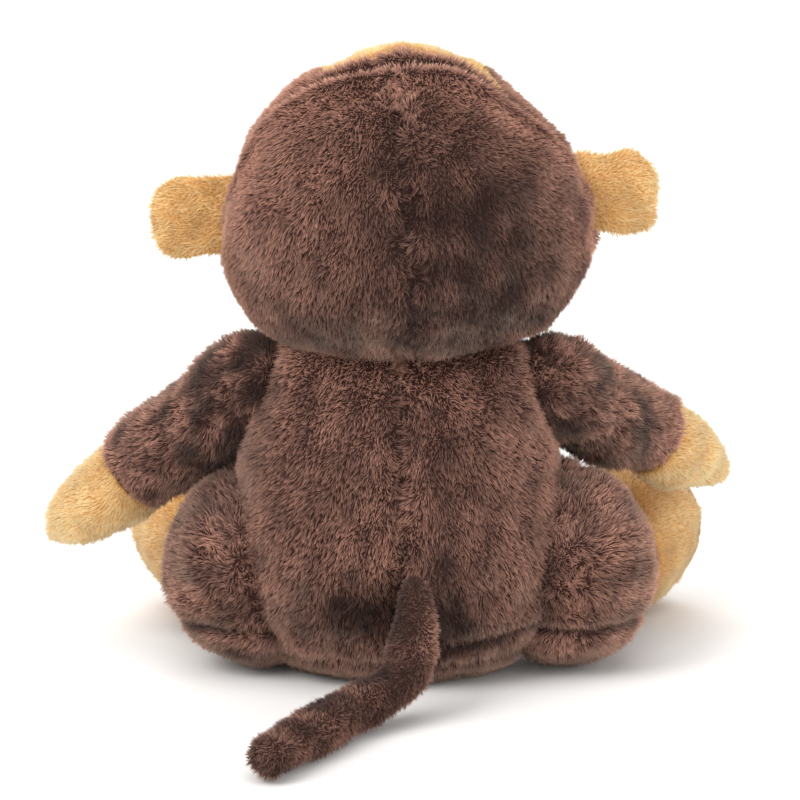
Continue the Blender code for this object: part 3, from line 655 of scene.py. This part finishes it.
def tail_grid():
    path = smooth_curve(TAIL_POINTS, 110) * MM
    root, end = path[0].copy(), path[-1].copy()
    headings = unit(np.gradient(path, axis=0))
    shares = np.linspace(0, 1, len(path))
    radii = np.interp(shares, *zip(*TAIL_WIDTHS)) * MM
    cap = np.radians((90, 72, 54, 36, 18))[:, None]
    tip = end + headings[-1] * np.sin(cap[::-1]) * radii[-1]
    start = root - headings[0] * np.sin(cap) * radii[0]
    path = np.concatenate([start, path, tip])
    headings = np.concatenate([headings[:1]] * 5 + [headings] + [headings[-1:]] * 5)
    radii = np.concatenate([radii[0] * np.cos(cap[:, 0]), radii, radii[-1] * np.cos(cap[::-1, 0])])
    across = unit(np.cross(headings, (1, 0, 0)))
    above = np.cross(across, headings)
    ring = superellipse(2.0, 64)
    return (
        path[:, None]
        + across[:, None] * (radii[:, None] * ring[:, 0])[..., None]
        + above[:, None] * (radii[:, None] * ring[:, 1])[..., None]
    )


# ---------------- skins


class Skin:
    """One piece of stuffed fabric: a grid in its part's own frame, and where that frame stands."""

    def __init__(self, name, body, grid, place=None, relief=None, tan=None, seed=0):
        self.name = name
        self.body = body
        self.tan = tan  # which points are tan, or None where the whole piece is of one colour
        self.place = place or Matrix.Identity(4)
        normals = grid_normals(grid)
        raised = lumps(grid, seed) - SKIN_DEPTH
        if relief is not None:
            raised = raised + relief(grid)
        self.local = grid + normals * raised[..., None]
        self.turn = np.array(self.place.to_3x3())
        self.points = self.local @ self.turn.T + np.array(self.place.translation)
        self.points[..., 2] = np.maximum(self.points[..., 2], SKIN_CLEARANCE)
        self.normals = grid_normals(self.points)

    def build(self, looks, slot, node_names):
        """Makes the closed mesh of the fabric's face."""
        vertices, faces = grid_faces(self.points, self.normals)
        mesh = bpy.data.meshes.new(self.name)
        mesh.from_pydata(vertices.tolist(), [], faces)
        mesh.shade_smooth()
        for look in looks:
            mesh.materials.append(look)
        if self.tan is not None:
            tan = self.tan(grid_faces(self.local, self.normals)[0])
            which = [int(sum(tan[list(face)]) > len(face) / 2) for face in faces]
            mesh.polygons.foreach_set("material_index", which)
        obj = bpy.data.objects.new(self.name, mesh)
        bpy.context.scene.collection.objects.link(obj)
        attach(obj, self.body)
        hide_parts(*node_names)
        self.tree = BVHTree.FromPolygons(vertices.tolist(), faces)
        self.box = vertices.min(axis=0), vertices.max(axis=0)


def lumps(grid, seed):
    """The gentle unevenness of loose filling under cloth."""
    return (0.55 * waves(grid, 34 * MM, seed) + 0.3 * waves(grid, 14 * MM, seed + 1)) * MM


def torso_relief(grid):
    x, y, z = np.moveaxis(grid, -1, 0)
    back = y > 0
    pucker = 1 + 0.35 * np.sin(z / (3.1 * MM)) * np.cos(z / (7.3 * MM))
    centre = groove(x, 2.2 * MM, 1.5 * MM) * back * pucker
    side = groove(y, 2.0 * MM, 0.9 * MM) * (np.abs(x) > 20 * MM)
    seat = groove(z - SEAT_SEAM_HEIGHT, 2.0 * MM, 1.1 * MM)
    seat += groove(z - seat_fold(x), 1.8 * MM, 1.3 * MM) * back * (x < 0)
    # Slack cloth folds run down and outward from the middle of the back to the thighs
    fold = np.sin((np.abs(x) * 0.8 + z * 0.6) / (4.2 * MM)) * band(z, 34 * MM, 16 * MM)
    folds = 0.45 * MM * fold * back * band(np.abs(x), 20 * MM, 12 * MM)
    return centre + side + seat + folds


def seat_fold(x):
    """The height of the crease that runs up from the tail's root to the right thigh."""
    return (12 + 9 * np.abs(x) / (45 * MM)) * MM


def leg_relief(grid):
    """The seam round the leg's base panel."""
    return groove(grid[..., 2] - LEG_SEAM_HEIGHT, 1.8 * MM, 1.6 * MM)


def head_relief(grid):
    x, y, z = np.moveaxis(grid, -1, 0)
    behind = back_seam_distance(grid)
    pucker = 1 + 0.3 * np.sin(z / (2.9 * MM)) * np.cos(z / (6.1 * MM))
    centre = groove(x, 2.0 * MM, 1.1 * MM) * (behind < 0) * pucker
    ridge = -groove(behind + 2.5 * MM, 2.5 * MM, 1.6 * MM)
    back = groove(behind - 1.2 * MM, 1.8 * MM, 2.6 * MM) + ridge
    face = groove(face_distance(grid), 1.8 * MM, 1.6 * MM)
    return centre + back + face + blobs(grid, HEAD_FULLNESS) * MM


def back_seam_distance(points):
    """How far points are in front of the plane of the seam over the back of the head."""
    above = points[..., 2] - EAR_LINE_HEIGHT
    return -math.sin(BACK_SEAM_ANGLE) * points[..., 1] + math.cos(BACK_SEAM_ANGLE) * above


def face_distance(points):
    """About how far points are outside the face panel's seam."""
    x, y, z = np.moveaxis(points, -1, 0)
    reach = np.where(z > 0, FACE_ABOVE, FACE_BELOW)
    across = x + FACE_LEAN * np.maximum(z, 0)
    half = FACE_HALF_WIDTH * (1 - FACE_TAPER * np.clip(z / FACE_ABOVE, 0, 1) ** 2)
    out = (np.hypot(across / half, z / reach) - 1) * half
    return np.maximum(out, y - FACE_BACK)


def face_is_tan(points):
    return face_distance(points) < 0


def limb_matrix(pivot, direction):
    """Points a limb's own +X in a direction and keeps its +Z as upright as it can be."""
    forward = Vector(direction).normalized()
    sideways = Vector((0, 0, 1)).cross(forward).normalized()
    turn = Matrix((forward, sideways, forward.cross(sideways))).transposed()
    return Matrix.Translation(Vector(pivot) * MM) @ turn.to_4x4()


def head_matrix():
    return Matrix.Translation(HEAD_CENTRE) @ Matrix.Rotation(HEAD_TILT, 4, "Y")


def with_head(points):
    """Points of the head's own frame where the head stands."""
    return points @ np.array(head_matrix().to_3x3()).T + np.array(HEAD_CENTRE)


def ear_matrix(side):
    turn = Matrix.Rotation(0 if side > 0 else math.pi, 4, "Z")
    return head_matrix() @ Matrix.Translation((side * EAR_PIVOT_OUT, 0, EAR_LINE_HEIGHT)) @ turn


# ---------------- pile


def scatter(grid, density, rng):
    """Evenly spread random places on a grid: a function that reads any such grid there."""
    beside = np.roll(grid, -1, axis=1)
    first = beside[1:] - grid[:-1]
    second = grid[1:] - beside[:-1]
    areas = 0.5 * np.linalg.norm(np.cross(first, second), axis=2)
    counts = np.floor(areas * density + rng.random(areas.shape)).astype(int)
    rows, columns = (np.repeat(index.ravel(), counts.ravel()) for index in np.indices(areas.shape))
    beyond = (columns + 1) % grid.shape[1]
    u = rng.random((len(rows), 1))
    v = rng.random((len(rows), 1))

    def read(values):
        low = values[rows, columns] * (1 - u) + values[rows, beyond] * u
        high = values[rows + 1, columns] * (1 - u) + values[rows + 1, beyond] * u
        return low * (1 - v) + high * v

    return read


def outside(points, skins, depth):
    """Which points aren't this deep inside any of these skins."""
    kept = np.ones(len(points), bool)
    for skin in skins:
        low, high = skin.box
        inside_box = ((points > low) & (points < high)).all(axis=1)
        for i in np.flatnonzero(kept & inside_box):
            place, normal, _, distance = skin.tree.find_nearest(Vector(points[i]))
            if distance > depth and normal.dot(Vector(points[i]) - place) < 0:
                kept[i] = False
    return kept


def tuft_mesh(name, roots, sides, ups, tips, radii, shade):
    """Joins tufts into one mesh. Each is a slim three-sided spike from its root to its tip."""
    count = len(tips)
    layers = []
    for turn in (math.pi / 2, math.pi * 7 / 6, math.pi * 11 / 6):
        layers.append(roots + (sides * math.cos(turn) + ups * math.sin(turn)) * radii[:, None])
    layers.append(tips)
    vertices = np.stack(layers, axis=1)
    vertices[..., 2] = np.maximum(vertices[..., 2], PILE_CLEARANCE)
    pattern = np.array([(0, 1, 3), (1, 2, 3), (2, 0, 3)])
    faces = (pattern[None] + 4 * np.arange(count)[:, None, None]).reshape(-1, 3)
    mesh = bpy.data.meshes.new(name)
    mesh.vertices.add(4 * count)
    mesh.vertices.foreach_set("co", vertices.astype(np.float32).ravel())
    mesh.loops.add(faces.size)
    mesh.loops.foreach_set("vertex_index", faces.astype(np.int32).ravel())
    mesh.polygons.add(len(faces))
    mesh.polygons.foreach_set("loop_start", np.arange(0, faces.size, 3, dtype=np.int32))
    mesh.update(calc_edges=True)
    mesh.shade_smooth()
    for label, values in (("along", np.tile((0, 0, 0, 1.0), count)), ("shade", np.repeat(shade, 4))):
        mesh.attributes.new(label, "FLOAT", "POINT").data.foreach_set("value", values.astype(np.float32))
    return mesh


def grow_pile(name, skin, look, slot, comb, where=None, near=(), length=LONG_PILE, painted_light_and_ruffle=None, seed=1):
    """Covers a skin with tufts that lean along comb, a function of places in the part's own frame.

    The painted-light-and-ruffle function gives, for such places, how light the pile is painted there (-1
    to 1), mostly painted light and shade, and how ruffled it is (0 to 2).
    """
    rng = np.random.default_rng(seed)
    read = scatter(skin.points, TUFT_DENSITY, rng)
    points, normals, local = read(skin.points), unit(read(skin.normals)), read(skin.local)
    kept = np.ones(len(points), bool) if where is None else where(local)
    kept[kept] = outside(points[kept], near, BURIED_DEPTH)
    points, normals, local = points[kept], normals[kept], local[kept]
    count = len(points)
    tone, ruffle = painted_light_and_ruffle(local) if painted_light_and_ruffle else (np.zeros(count), np.full(count, 0.3))

    swirl = 0.45 * waves(local, 9 * MM, seed + 1, 3) + 0.4 * waves(local, 4 * MM, seed + 2, 3)
    drift = 0.14 * waves(local, 30 * MM, seed + 7, 3)
    lie = (comb(local) + drift + swirl * ruffle[:, None]) @ skin.turn.T
    lie = lie + 0.12 * rng.normal(size=local.shape)
    lie = unit(lie - normals * (lie * normals).sum(axis=1, keepdims=True))
    patch = waves(local, 9 * MM, seed + 3)
    lean = np.radians(TUFT_LEAN + 6 * patch + 5 * rng.normal(size=count) - 10 * ruffle)[:, None]
    reach = (length * (1 + 0.06 * patch + 0.07 * rng.normal(size=count) + 0.1 * ruffle))[:, None]
    heading = normals * np.cos(lean) + lie * np.sin(lean)
    roots = points - normals * TUFT_ROOT_DEPTH
    # Neighbouring tips draw together into locks
    gather = 0.24 * waves(local, 3.0 * MM, seed + 4, 3) + 0.22 * waves(local, 1.5 * MM, seed + 5, 3)
    tips = roots + heading * reach + gather * (0.8 + ruffle[:, None]) @ skin.turn.T * MM
    sides = np.cross(normals, lie)
    radii = TUFT_RADIUS * rng.uniform(0.7, 1.3, count)
    mottle = 0.1 * waves(local, 12 * MM, seed + 6) + 0.12 * rng.normal(size=count)
    # A tuft's shade: the painted light and shade of the tone, with random mottle
    shade = np.clip(0.5 + 0.5 * tone + mottle, 0, 1)
    mesh = tuft_mesh(name, roots, sides, unit(np.cross(sides, heading)), tips, radii, shade)
    mesh.materials.append(look)
    obj = bpy.data.objects.new(name, mesh)
    bpy.context.scene.collection.objects.link(obj)
    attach(obj, skin.body)


def painted_parting_shade(points, centre, seed):
    """Painted shade in small gaps where the pile parts, irregularly, along a seam in the plane x =
    centre.
    """
    wander = centre + 1.3 * MM * waves(points * (0, 0, 1), 11 * MM, seed)
    open_here = np.clip(0.35 + 0.9 * waves(points, 5 * MM, seed + 1), 0, 1)
    return band(points[:, 0], wander, 1.3 * MM) * open_here


def head_painted_light_and_ruffle(points):
    """Painted light on the crown and the sides, painted shade down the middle, under the head and in the
    seams, a painted highlight on the back seam's lip, and disturbed along the seams.
    """
    x, _, z = points.T
    behind = back_seam_distance(points)
    on_back = behind < 0
    tone = 0.46 * np.abs(x) / HEAD_RADII[0] + 0.2 * x / HEAD_RADII[0] - 0.16
    tone += 1.1 * np.clip(z / HEAD_ABOVE, 0, 1) ** 2 + blobs(points, HEAD_PATCHES)
    tone += 0.85 * band(behind, -6 * MM, 5 * MM) + 0.65 * band(behind, -1.8 * MM, 1.6 * MM)
    tone -= 1.1 * band(behind, 1.4 * MM, 1.8 * MM)
    tone -= (0.3 * band(x, 0, 1.2 * MM) + 1.5 * painted_parting_shade(points, -1 * MM, 61)) * on_back
    ruffle = 0.15 + 1.6 * band(x, -1 * MM, 5 * MM) * on_back + 0.6 * band(behind, 6 * MM, 5 * MM)
    return tone, ruffle


def torso_painted_light_and_ruffle(points):
    # Painted light and painted shade: lighter at the sides and in the light patches, darker in the dark
    # patches, in the seams and in the seat crease, with random patches. The pile is ruffled along the
    # back's centre seam and low on the back.
    x, y, z = points.T
    back = y > 0
    tone = 0.2 * np.abs(x) / (50 * MM) + 0.14 * waves(points, 26 * MM, 8) + 0.06
    tone += blobs(points, TORSO_PATCHES)
    tone -= (0.2 * band(x, 0, 1.2 * MM) + 0.8 * painted_parting_shade(points, 0, 71)) * back
    tone -= 0.35 * band(z, SEAT_SEAM_HEIGHT, 2 * MM)
    tone -= 0.9 * band(z, seat_fold(x), 1.4 * MM) * back * (x < 0)
    ruffle = 0.18 + 1.2 * band(x, 0, 3.5 * MM) * back + 0.7 * blob(points, (0, 40, 22), (30, 60, 14))
    return tone, ruffle


def arm_painted_light_and_ruffle(lightness, crevice):
    """Ruffled in dark and light clumps, with painted shade underneath and at the shoulder, and lighter
    at the cuff.
    """

    def painted_light_and_ruffle(points):
        root = np.exp(-np.abs(points[:, 0]) / (18 * MM))
        cuff = np.clip(points[:, 0] / (20 * MM) - 1.4, 0, 1)
        under = np.clip(-points[:, 2] / (16 * MM), 0, 1)
        clumps = waves(points, 15 * MM, 15)
        tone = 0.42 * clumps + 0.36 * waves(points, 7 * MM, 9)
        tone += 0.7 * cuff - 0.6 * under - crevice * root
        return tone + lightness, np.clip(0.6 + 0.5 * root + 0.4 * clumps, 0, 1.3)

    return painted_light_and_ruffle


def leg_painted_light_and_ruffle(lightness, crevice):
    """Painted shade on its top, where the arm's shadow falls, in the crevice and in the seam; painted
    light on the base panel.
    """

    def painted_light_and_ruffle(points):
        _, y, z = points.T
        base = np.clip((LEG_SEAM_HEIGHT - z) / (3 * MM), 0, 1)
        top = np.clip((z - 18 * MM) / (10 * MM), 0, 1)
        inner = np.clip(-y / (20 * MM), 0, 1)
        clumps = waves(points, 20 * MM, 5)
        tone = 0.36 * clumps + 0.3 * base - 0.45 * top - crevice * inner
        tone -= 0.9 * band(z, LEG_SEAM_HEIGHT, 1.4 * MM)
        return tone + lightness, np.clip(0.4 + 0.4 * clumps, 0, 1)

    return painted_light_and_ruffle


def tail_painted_light_and_ruffle(points):
    """Darker than the rest, with painted light on its right side, its underside and its tip."""
    centre_x = np.interp(points[:, 1], *(np.array(TAIL_POINTS)[:, (1, 0)].T * MM))
    right = np.clip((centre_x - points[:, 0]) / (7 * MM), 0, 1)
    under = np.clip(1 - points[:, 2] / (6 * MM), 0, 1)
    tone = 0.3 * waves(points, 15 * MM, 6) - 0.85 + 0.7 * np.maximum(under, right)
    return tone + 0.6 * blob(points, (37, 118, 5), (13, 13, 13)), np.full(len(points), 0.35)


def tan_painted_light_and_ruffle(lightness, reach=8):
    """Painted shade towards the seam that a tan piece starts from, as far as this reach in millimetres.
    """

    def painted_light_and_ruffle(points):
        start = points[:, 0].min()
        root = np.exp(-(points[:, 0] - start) / (reach * MM))
        tone = lightness - 0.9 * root + 0.12 * waves(points, 16 * MM, 7)
        return tone, np.full(len(points), 0.3)

    return painted_light_and_ruffle


def comb_torso(points):
    out = np.tanh(points[:, 0] / (30 * MM))
    return np.stack([0.25 * out, 0 * out, -1 + 0 * out], axis=1)


def comb_head(points):
    out = np.tanh(points[:, 0] / (30 * MM))
    back = np.where(points[:, 1] > -10 * MM, 0.35, -0.3)
    return np.stack([0.3 * out, back, -1 + 0 * out], axis=1)


def comb_along(points):
    """Along a limb, towards its end."""
    return np.tile((1.0, 0, 0), (len(points), 1))


def comb_down(points):
    return np.tile((0, 0, -1.0), (len(points), 1))


def comb_down_tail(points):
    path = smooth_curve(TAIL_POINTS, 60) * MM
    headings = unit(np.gradient(path, axis=0))
    nearest = np.linalg.norm(points[:, None] - path[None], axis=2).argmin(axis=1)
    return headings[nearest]


# ---------------- eyes, nose and mouth


def plain_object(name, vertices, faces, look, slot, *node_names):
    """A piece of the head that isn't pile or fabric."""
    mesh = bpy.data.meshes.new(name)
    mesh.from_pydata([tuple(v) for v in vertices], [], faces)
    mesh.shade_smooth()
    mesh.materials.append(look)
    obj = bpy.data.objects.new(name, mesh)
    bpy.context.scene.collection.objects.link(obj)
    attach(obj, "head")
    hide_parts(*node_names)
    return obj


def eye_place(side):
    """Where an eye's middle meets the face, from the head's centre, and the way out of the face."""
    place = head_surface(np.array((side * EYE_DIRECTION[0], *EYE_DIRECTION[1:]), float))
    nudges = np.array(((0.5, 0, 0), (0, 0, 0.5))) * MM
    across, up = (head_surface(place + nudge) - head_surface(place - nudge) for nudge in nudges)
    out = unit(np.cross(across, up))
    return place, out if out @ place > 0 else -out


def make_eye(name, side, look):
    """A domed plastic eye with a thin upright rim and a shallow hollow in its back."""
    dome = np.radians(np.linspace(0, 90, 20))
    radii = np.concatenate([(0, EYE_RADIUS * 0.9), EYE_RADIUS * np.cos(dome)])
    heights = np.concatenate([(0.3 * MM, 0.4 * MM), EYE_RIM_HEIGHT + EYE_HEIGHT * np.sin(dome)])
    ring = superellipse(2.0, EYE_SIDES)
    flat = [radii[:, None] * ring[:, 0], radii[:, None] * ring[:, 1], heights[:, None] + 0 * ring[:, 0]]
    place, out = eye_place(side)
    turn = np.array(Vector(out).to_track_quat("Z", "Y").to_matrix())
    local = np.stack(flat, axis=2) @ turn.T + place
    grid = np.array([[head_matrix() @ Vector(point) for point in row] for row in local])
    vertices, faces = grid_faces(grid, grid_normals(grid))
    eye = plain_object(f"eye_{name}_dome", vertices, faces, look, "eye_plastic", f"eye_{name}")
    outward = np.concatenate([np.repeat(radii[1:-1], EYE_SIDES), radii[:1], radii[-1:]]) / EYE_RADIUS
    attribute = eye.data.attributes.new("out", "FLOAT", "POINT")
    attribute.data.foreach_set("value", outward.astype(np.float32))


def muzzle_front(x, z):
    """The front of the muzzle at places across and up from the muzzle's centre."""
    inside = 1 - (x / MUZZLE_RADII[0]) ** 2 - (z / MUZZLE_RADII[2]) ** 2
    depth = MUZZLE_RADII[1] * np.sqrt(np.maximum(inside, 0))
    return MUZZLE_CENTRE + np.stack([x, -depth, z], axis=-1)


def make_nose(look):
    """A soft triangle, wide at its top, with two nostril dimples."""
    grid = ball_grid(NOSE_RADII, 50, 72)
    x, y, z = np.moveaxis(grid, -1, 0)
    grid[..., 0] = x * (1 + 0.22 * z / NOSE_RADII[2])
    across, *rest = NOSTRIL_PLACE
    dimples = blobs(grid, [(1, (side * across, *rest), NOSTRIL_SIZE) for _, side in SIDES])
    grid[..., 1] = y + NOSTRIL_DEPTH * dimples
    local = grid + muzzle_front(np.array(0.0), np.array(NOSE_RAISE)) + PROUD
    placed = with_head(local)
    vertices, faces = grid_faces(placed, grid_normals(placed))
    plain_object("nose_button", vertices, faces, look, "nose_plastic", "nose")


def mouth_curve(count):
    across = np.linspace(-1, 1, count)
    return muzzle_front(MOUTH_HALF_WIDTH * across, -MOUTH_DROP - MOUTH_SAG * (1 - across**2))


def make_mouth(look):
    """Back stitches of twisted thread, each one dipping into the cloth at its ends."""
    ends = mouth_curve(MOUTH_STITCHES + 1) + PROUD
    turns = np.arange(STITCH_SIDES)[None, :, None] * math.tau / 7
    vertices, faces = [], []
    for start, end in zip(ends, ends[1:]):
        along = end - start
        forward = unit(along)
        above = unit(np.cross(forward, (0, -1, 0)))
        frame_rows = np.stack([above, np.cross(forward, above), forward])
        radii = (THREAD_RADIUS, THREAD_RADIUS, STITCH_OVERLAP * np.linalg.norm(along))
        ball = ball_grid(radii, STITCH_RINGS, STITCH_SIDES)
        twist = 1 + 0.1 * np.sin(ball[..., 2:] / STITCH_TWIST + turns)
        stitch = (ball * np.where(np.arange(3) < 2, twist, 1)) @ frame_rows + (start + end) / 2
        placed = with_head(stitch)
        more_vertices, more_faces = grid_faces(placed, grid_normals(placed))
        faces += [tuple(index + len(vertices) for index in face) for face in more_faces]
        vertices += more_vertices.tolist()
    plain_object("mouth_stitches", vertices, faces, look, "dark_thread", "mouth_stitch")


def face_pile_area(points):
    """The tan part of the head, but not the places under the eyes."""
    clear = face_is_tan(points)
    for _, side in SIDES:
        clear &= np.linalg.norm(points - eye_place(side)[0], axis=1) > EYE_RADIUS + EYE_MARGIN
    return clear


def muzzle_pile_area(points):
    """All of the muzzle but the places under the nose and the mouth's thread."""
    from_nose = (points - muzzle_front(np.array(0.0), np.array(NOSE_RAISE))) / (NOSE_RADII + NOSE_MARGIN)
    from_mouth = np.linalg.norm(points[:, None] - mouth_curve(40)[None], axis=2).min(axis=1)
    return (np.linalg.norm(from_nose, axis=1) > 1) & (from_mouth > MOUTH_MARGIN)


# ---------------- the whole monkey


def make_body_and_head(brown_back, tan_back):
    torso = Skin("torso_fabric", "torso", torso_grid(), relief=torso_relief, seed=11)
    head = Skin("head_fabric", "head", head_grid(), head_matrix(), head_relief, face_is_tan, seed=21)
    muzzle_form = ball_grid(MUZZLE_RADII, 60, 100) + MUZZLE_CENTRE
    muzzle = Skin("muzzle_fabric", "head", muzzle_form, head_matrix(), seed=31)
    tail = Skin("tail_fabric", "tail", tail_grid(), seed=41)
    torso_panels = ["torso_back_left", "torso_back_right", "torso_belly_panel", "torso_seat_panel"]
    torso.build([brown_back], "brown_plush", torso_panels + ["torso_stuffing", "torso_pellet_pouch"])
    head_panels = ["head_back_left", "head_back_right", "head_crown_gusset", "face_panel"]
    head.build([brown_back, tan_back], "brown_plush", head_panels + ["head_stuffing"])
    muzzle.build([tan_back], "tan_plush", ["muzzle_panel"])
    tail.build([brown_back], "brown_plush", ["tail_sleeve", "tail_stuffing"])
    return torso, head, muzzle, tail


def make_limb_skins(name, side, brown_back, tan_back):
    """The skins of one side's arm, hand, leg, foot, sole and ear."""
    arm, leg, ear = f"arm_{name}", f"leg_{name}", f"ear_{name}"
    splay = LEG_SPLAY[name]
    arm_place = limb_matrix((side * ARM_PIVOT[0], *ARM_PIVOT[1:]), ARM_AIMS[name])
    leg_place = limb_matrix(LEG_PIVOTS[name], (side * math.sin(splay), -math.cos(splay), 0))
    seed = 50 + 10 * side
    sleeve_form = limb_grid(SLEEVE_OUTLINE, 90, 100, ARM_ROOT_RADIUS, ARM_ROOT_REACH)
    hand_form = limb_grid(HAND_OUTLINE, 60, 100)
    leg_form = limb_grid(LEG_OUTLINE, 110, 140, LEG_ROOT_RADIUS, LEG_ROOT_REACH)
    foot_form = limb_grid(FOOT_OUTLINE, 70, 140)
    sole_form = limb_grid(SOLE_OUTLINE, 50, 140)
    skins = {
        "arm": Skin(f"{arm}_fabric", arm, sleeve_form, arm_place, seed=seed),
        "hand": Skin(f"hand_{name}_fabric", arm, hand_form, arm_place, seed=seed + 2),
        "leg": Skin(f"{leg}_fabric", leg, leg_form, leg_place, leg_relief, seed=seed + 4),
        "foot": Skin(f"foot_{name}_fabric", leg, foot_form, leg_place, seed=seed + 6),
        "sole": Skin(f"sole_{name}_fabric", leg, sole_form, leg_place, seed=seed + 8),
        "ear": Skin(f"{ear}_fabric", ear, ear_grid(), ear_matrix(side), seed=seed + 9),
    }
    skins["arm"].build([brown_back], "brown_plush", [f"{arm}_sleeve", f"{arm}_stuffing"])
    skins["hand"].build([tan_back], "tan_plush", [f"hand_{name}"])
    skins["leg"].build([brown_back], "brown_plush", [f"{leg}_sleeve", f"{leg}_stuffing"])
    skins["foot"].build([tan_back], "tan_plush", [f"foot_{name}_upper"])
    skins["sole"].build([tan_back], "tan_plush", [f"foot_{name}_sole"])
    skins["ear"].build([tan_back], "tan_plush", [f"{ear}_front", f"{ear}_back", f"{ear}_wadding"])
    return skins


def past(distance):
    """Places farther than this along a limb, in millimetres."""
    return lambda points: points[:, 0] > distance * MM


def short_of(distance):
    return lambda points: points[:, 0] < distance * MM


def grow_body_pile(torso, head, muzzle, tail, limbs, brown, tan):
    on_torso = [head, tail] + [limbs[name][part] for name, _ in SIDES for part in ("arm", "leg")]
    for name, side in SIDES:

        def on_this_side(points):
            return side * points[:, 0] >= 0

        def brown_side(points):
            return (face_distance(points) > 0) & on_this_side(points)

        grow_pile(
            f"torso_{name}_pile", torso, brown, "brown_plush", comb_torso,
            on_this_side, on_torso, painted_light_and_ruffle=torso_painted_light_and_ruffle, seed=100,
        )
        grow_pile(
            f"head_brown_{name}_pile", head, brown, "brown_plush", comb_head,
            brown_side, [torso], painted_light_and_ruffle=head_painted_light_and_ruffle, seed=110,
        )
    grow_pile(
        "head_tan_pile", head, tan, "tan_plush", comb_head,
        face_pile_area, [torso, muzzle], SHORT_PILE, seed=120,
    )
    grow_pile(
        "muzzle_pile", muzzle, tan, "tan_plush", comb_head,
        muzzle_pile_area, [head], SHORT_PILE, seed=130,
    )
    grow_pile(
        "tail_pile", tail, brown, "brown_plush", comb_down_tail,
        None, [torso], SHORT_PILE, tail_painted_light_and_ruffle, seed=140,
    )


def grow_limb_pile(name, side, skins, torso, head, brown, tan):
    arm_growth = (short_of(SLEEVE_PILE_END), [torso], LONG_PILE, arm_painted_light_and_ruffle(*LIMB_TONES[name]["arm"]))
    leg_growth = (short_of(LEG_PILE_END), [torso], LONG_PILE, leg_painted_light_and_ruffle(*LIMB_TONES[name]["leg"]))
    pieces = (
        ("arm", brown, "brown_plush", comb_along, *arm_growth),
        # The hand's lightness is painted light from above
        ("hand", tan, "tan_plush", comb_along, past(HAND_PILE_START), [], SHORT_PILE, tan_painted_light_and_ruffle(0.75)),
        ("leg", brown, "brown_plush", comb_along, *leg_growth),
        ("foot", tan, "tan_plush", comb_along, past(FOOT_PILE_START), [], SHORT_PILE, tan_painted_light_and_ruffle(-0.2)),
        ("sole", tan, "tan_plush", comb_down, past(SOLE_PILE_START), [], SHORT_PILE, None),
        ("ear", tan, "tan_plush", comb_along, None, [head], SHORT_PILE, tan_painted_light_and_ruffle(0.45, 14)),
    )
    for i, (part, *growth) in enumerate(pieces):
        grow_pile(f"{part}_{name}_pile", skins[part], *growth, seed=200 + 20 * side + i)


def main():
    make_camera()
    make_lights()
    make_floor()
    brown = pile_material("brown_pile", *BROWN_PILE)
    tan = pile_material("tan_pile", *TAN_PILE)
    brown_back = backing_material("brown_backing", *BROWN_BACKING)
    tan_back = backing_material("tan_backing", *TAN_BACKING)
    torso, head, muzzle, tail = make_body_and_head(brown_back, tan_back)
    limbs = {name: make_limb_skins(name, side, brown_back, tan_back) for name, side in SIDES}
    grow_body_pile(torso, head, muzzle, tail, limbs, brown, tan)
    for name, side in SIDES:
        grow_limb_pile(name, side, limbs[name], torso, head, brown, tan)

    eye_look = eye_material()
    for name, side in SIDES:
        make_eye(name, side, eye_look)
    make_nose(moulded_material("nose_gloss", *NOSE_PLASTIC, roughness=0.28))
    make_mouth(thread_material("mouth_thread", *MOUTH_THREAD))
    washer_look = moulded_material("washer_moulded", *WASHER_PLASTIC, roughness=0.45)
    for name, _ in SIDES:
        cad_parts[f"eye_washer_{name}"].material_slots[0].material = washer_look


main()
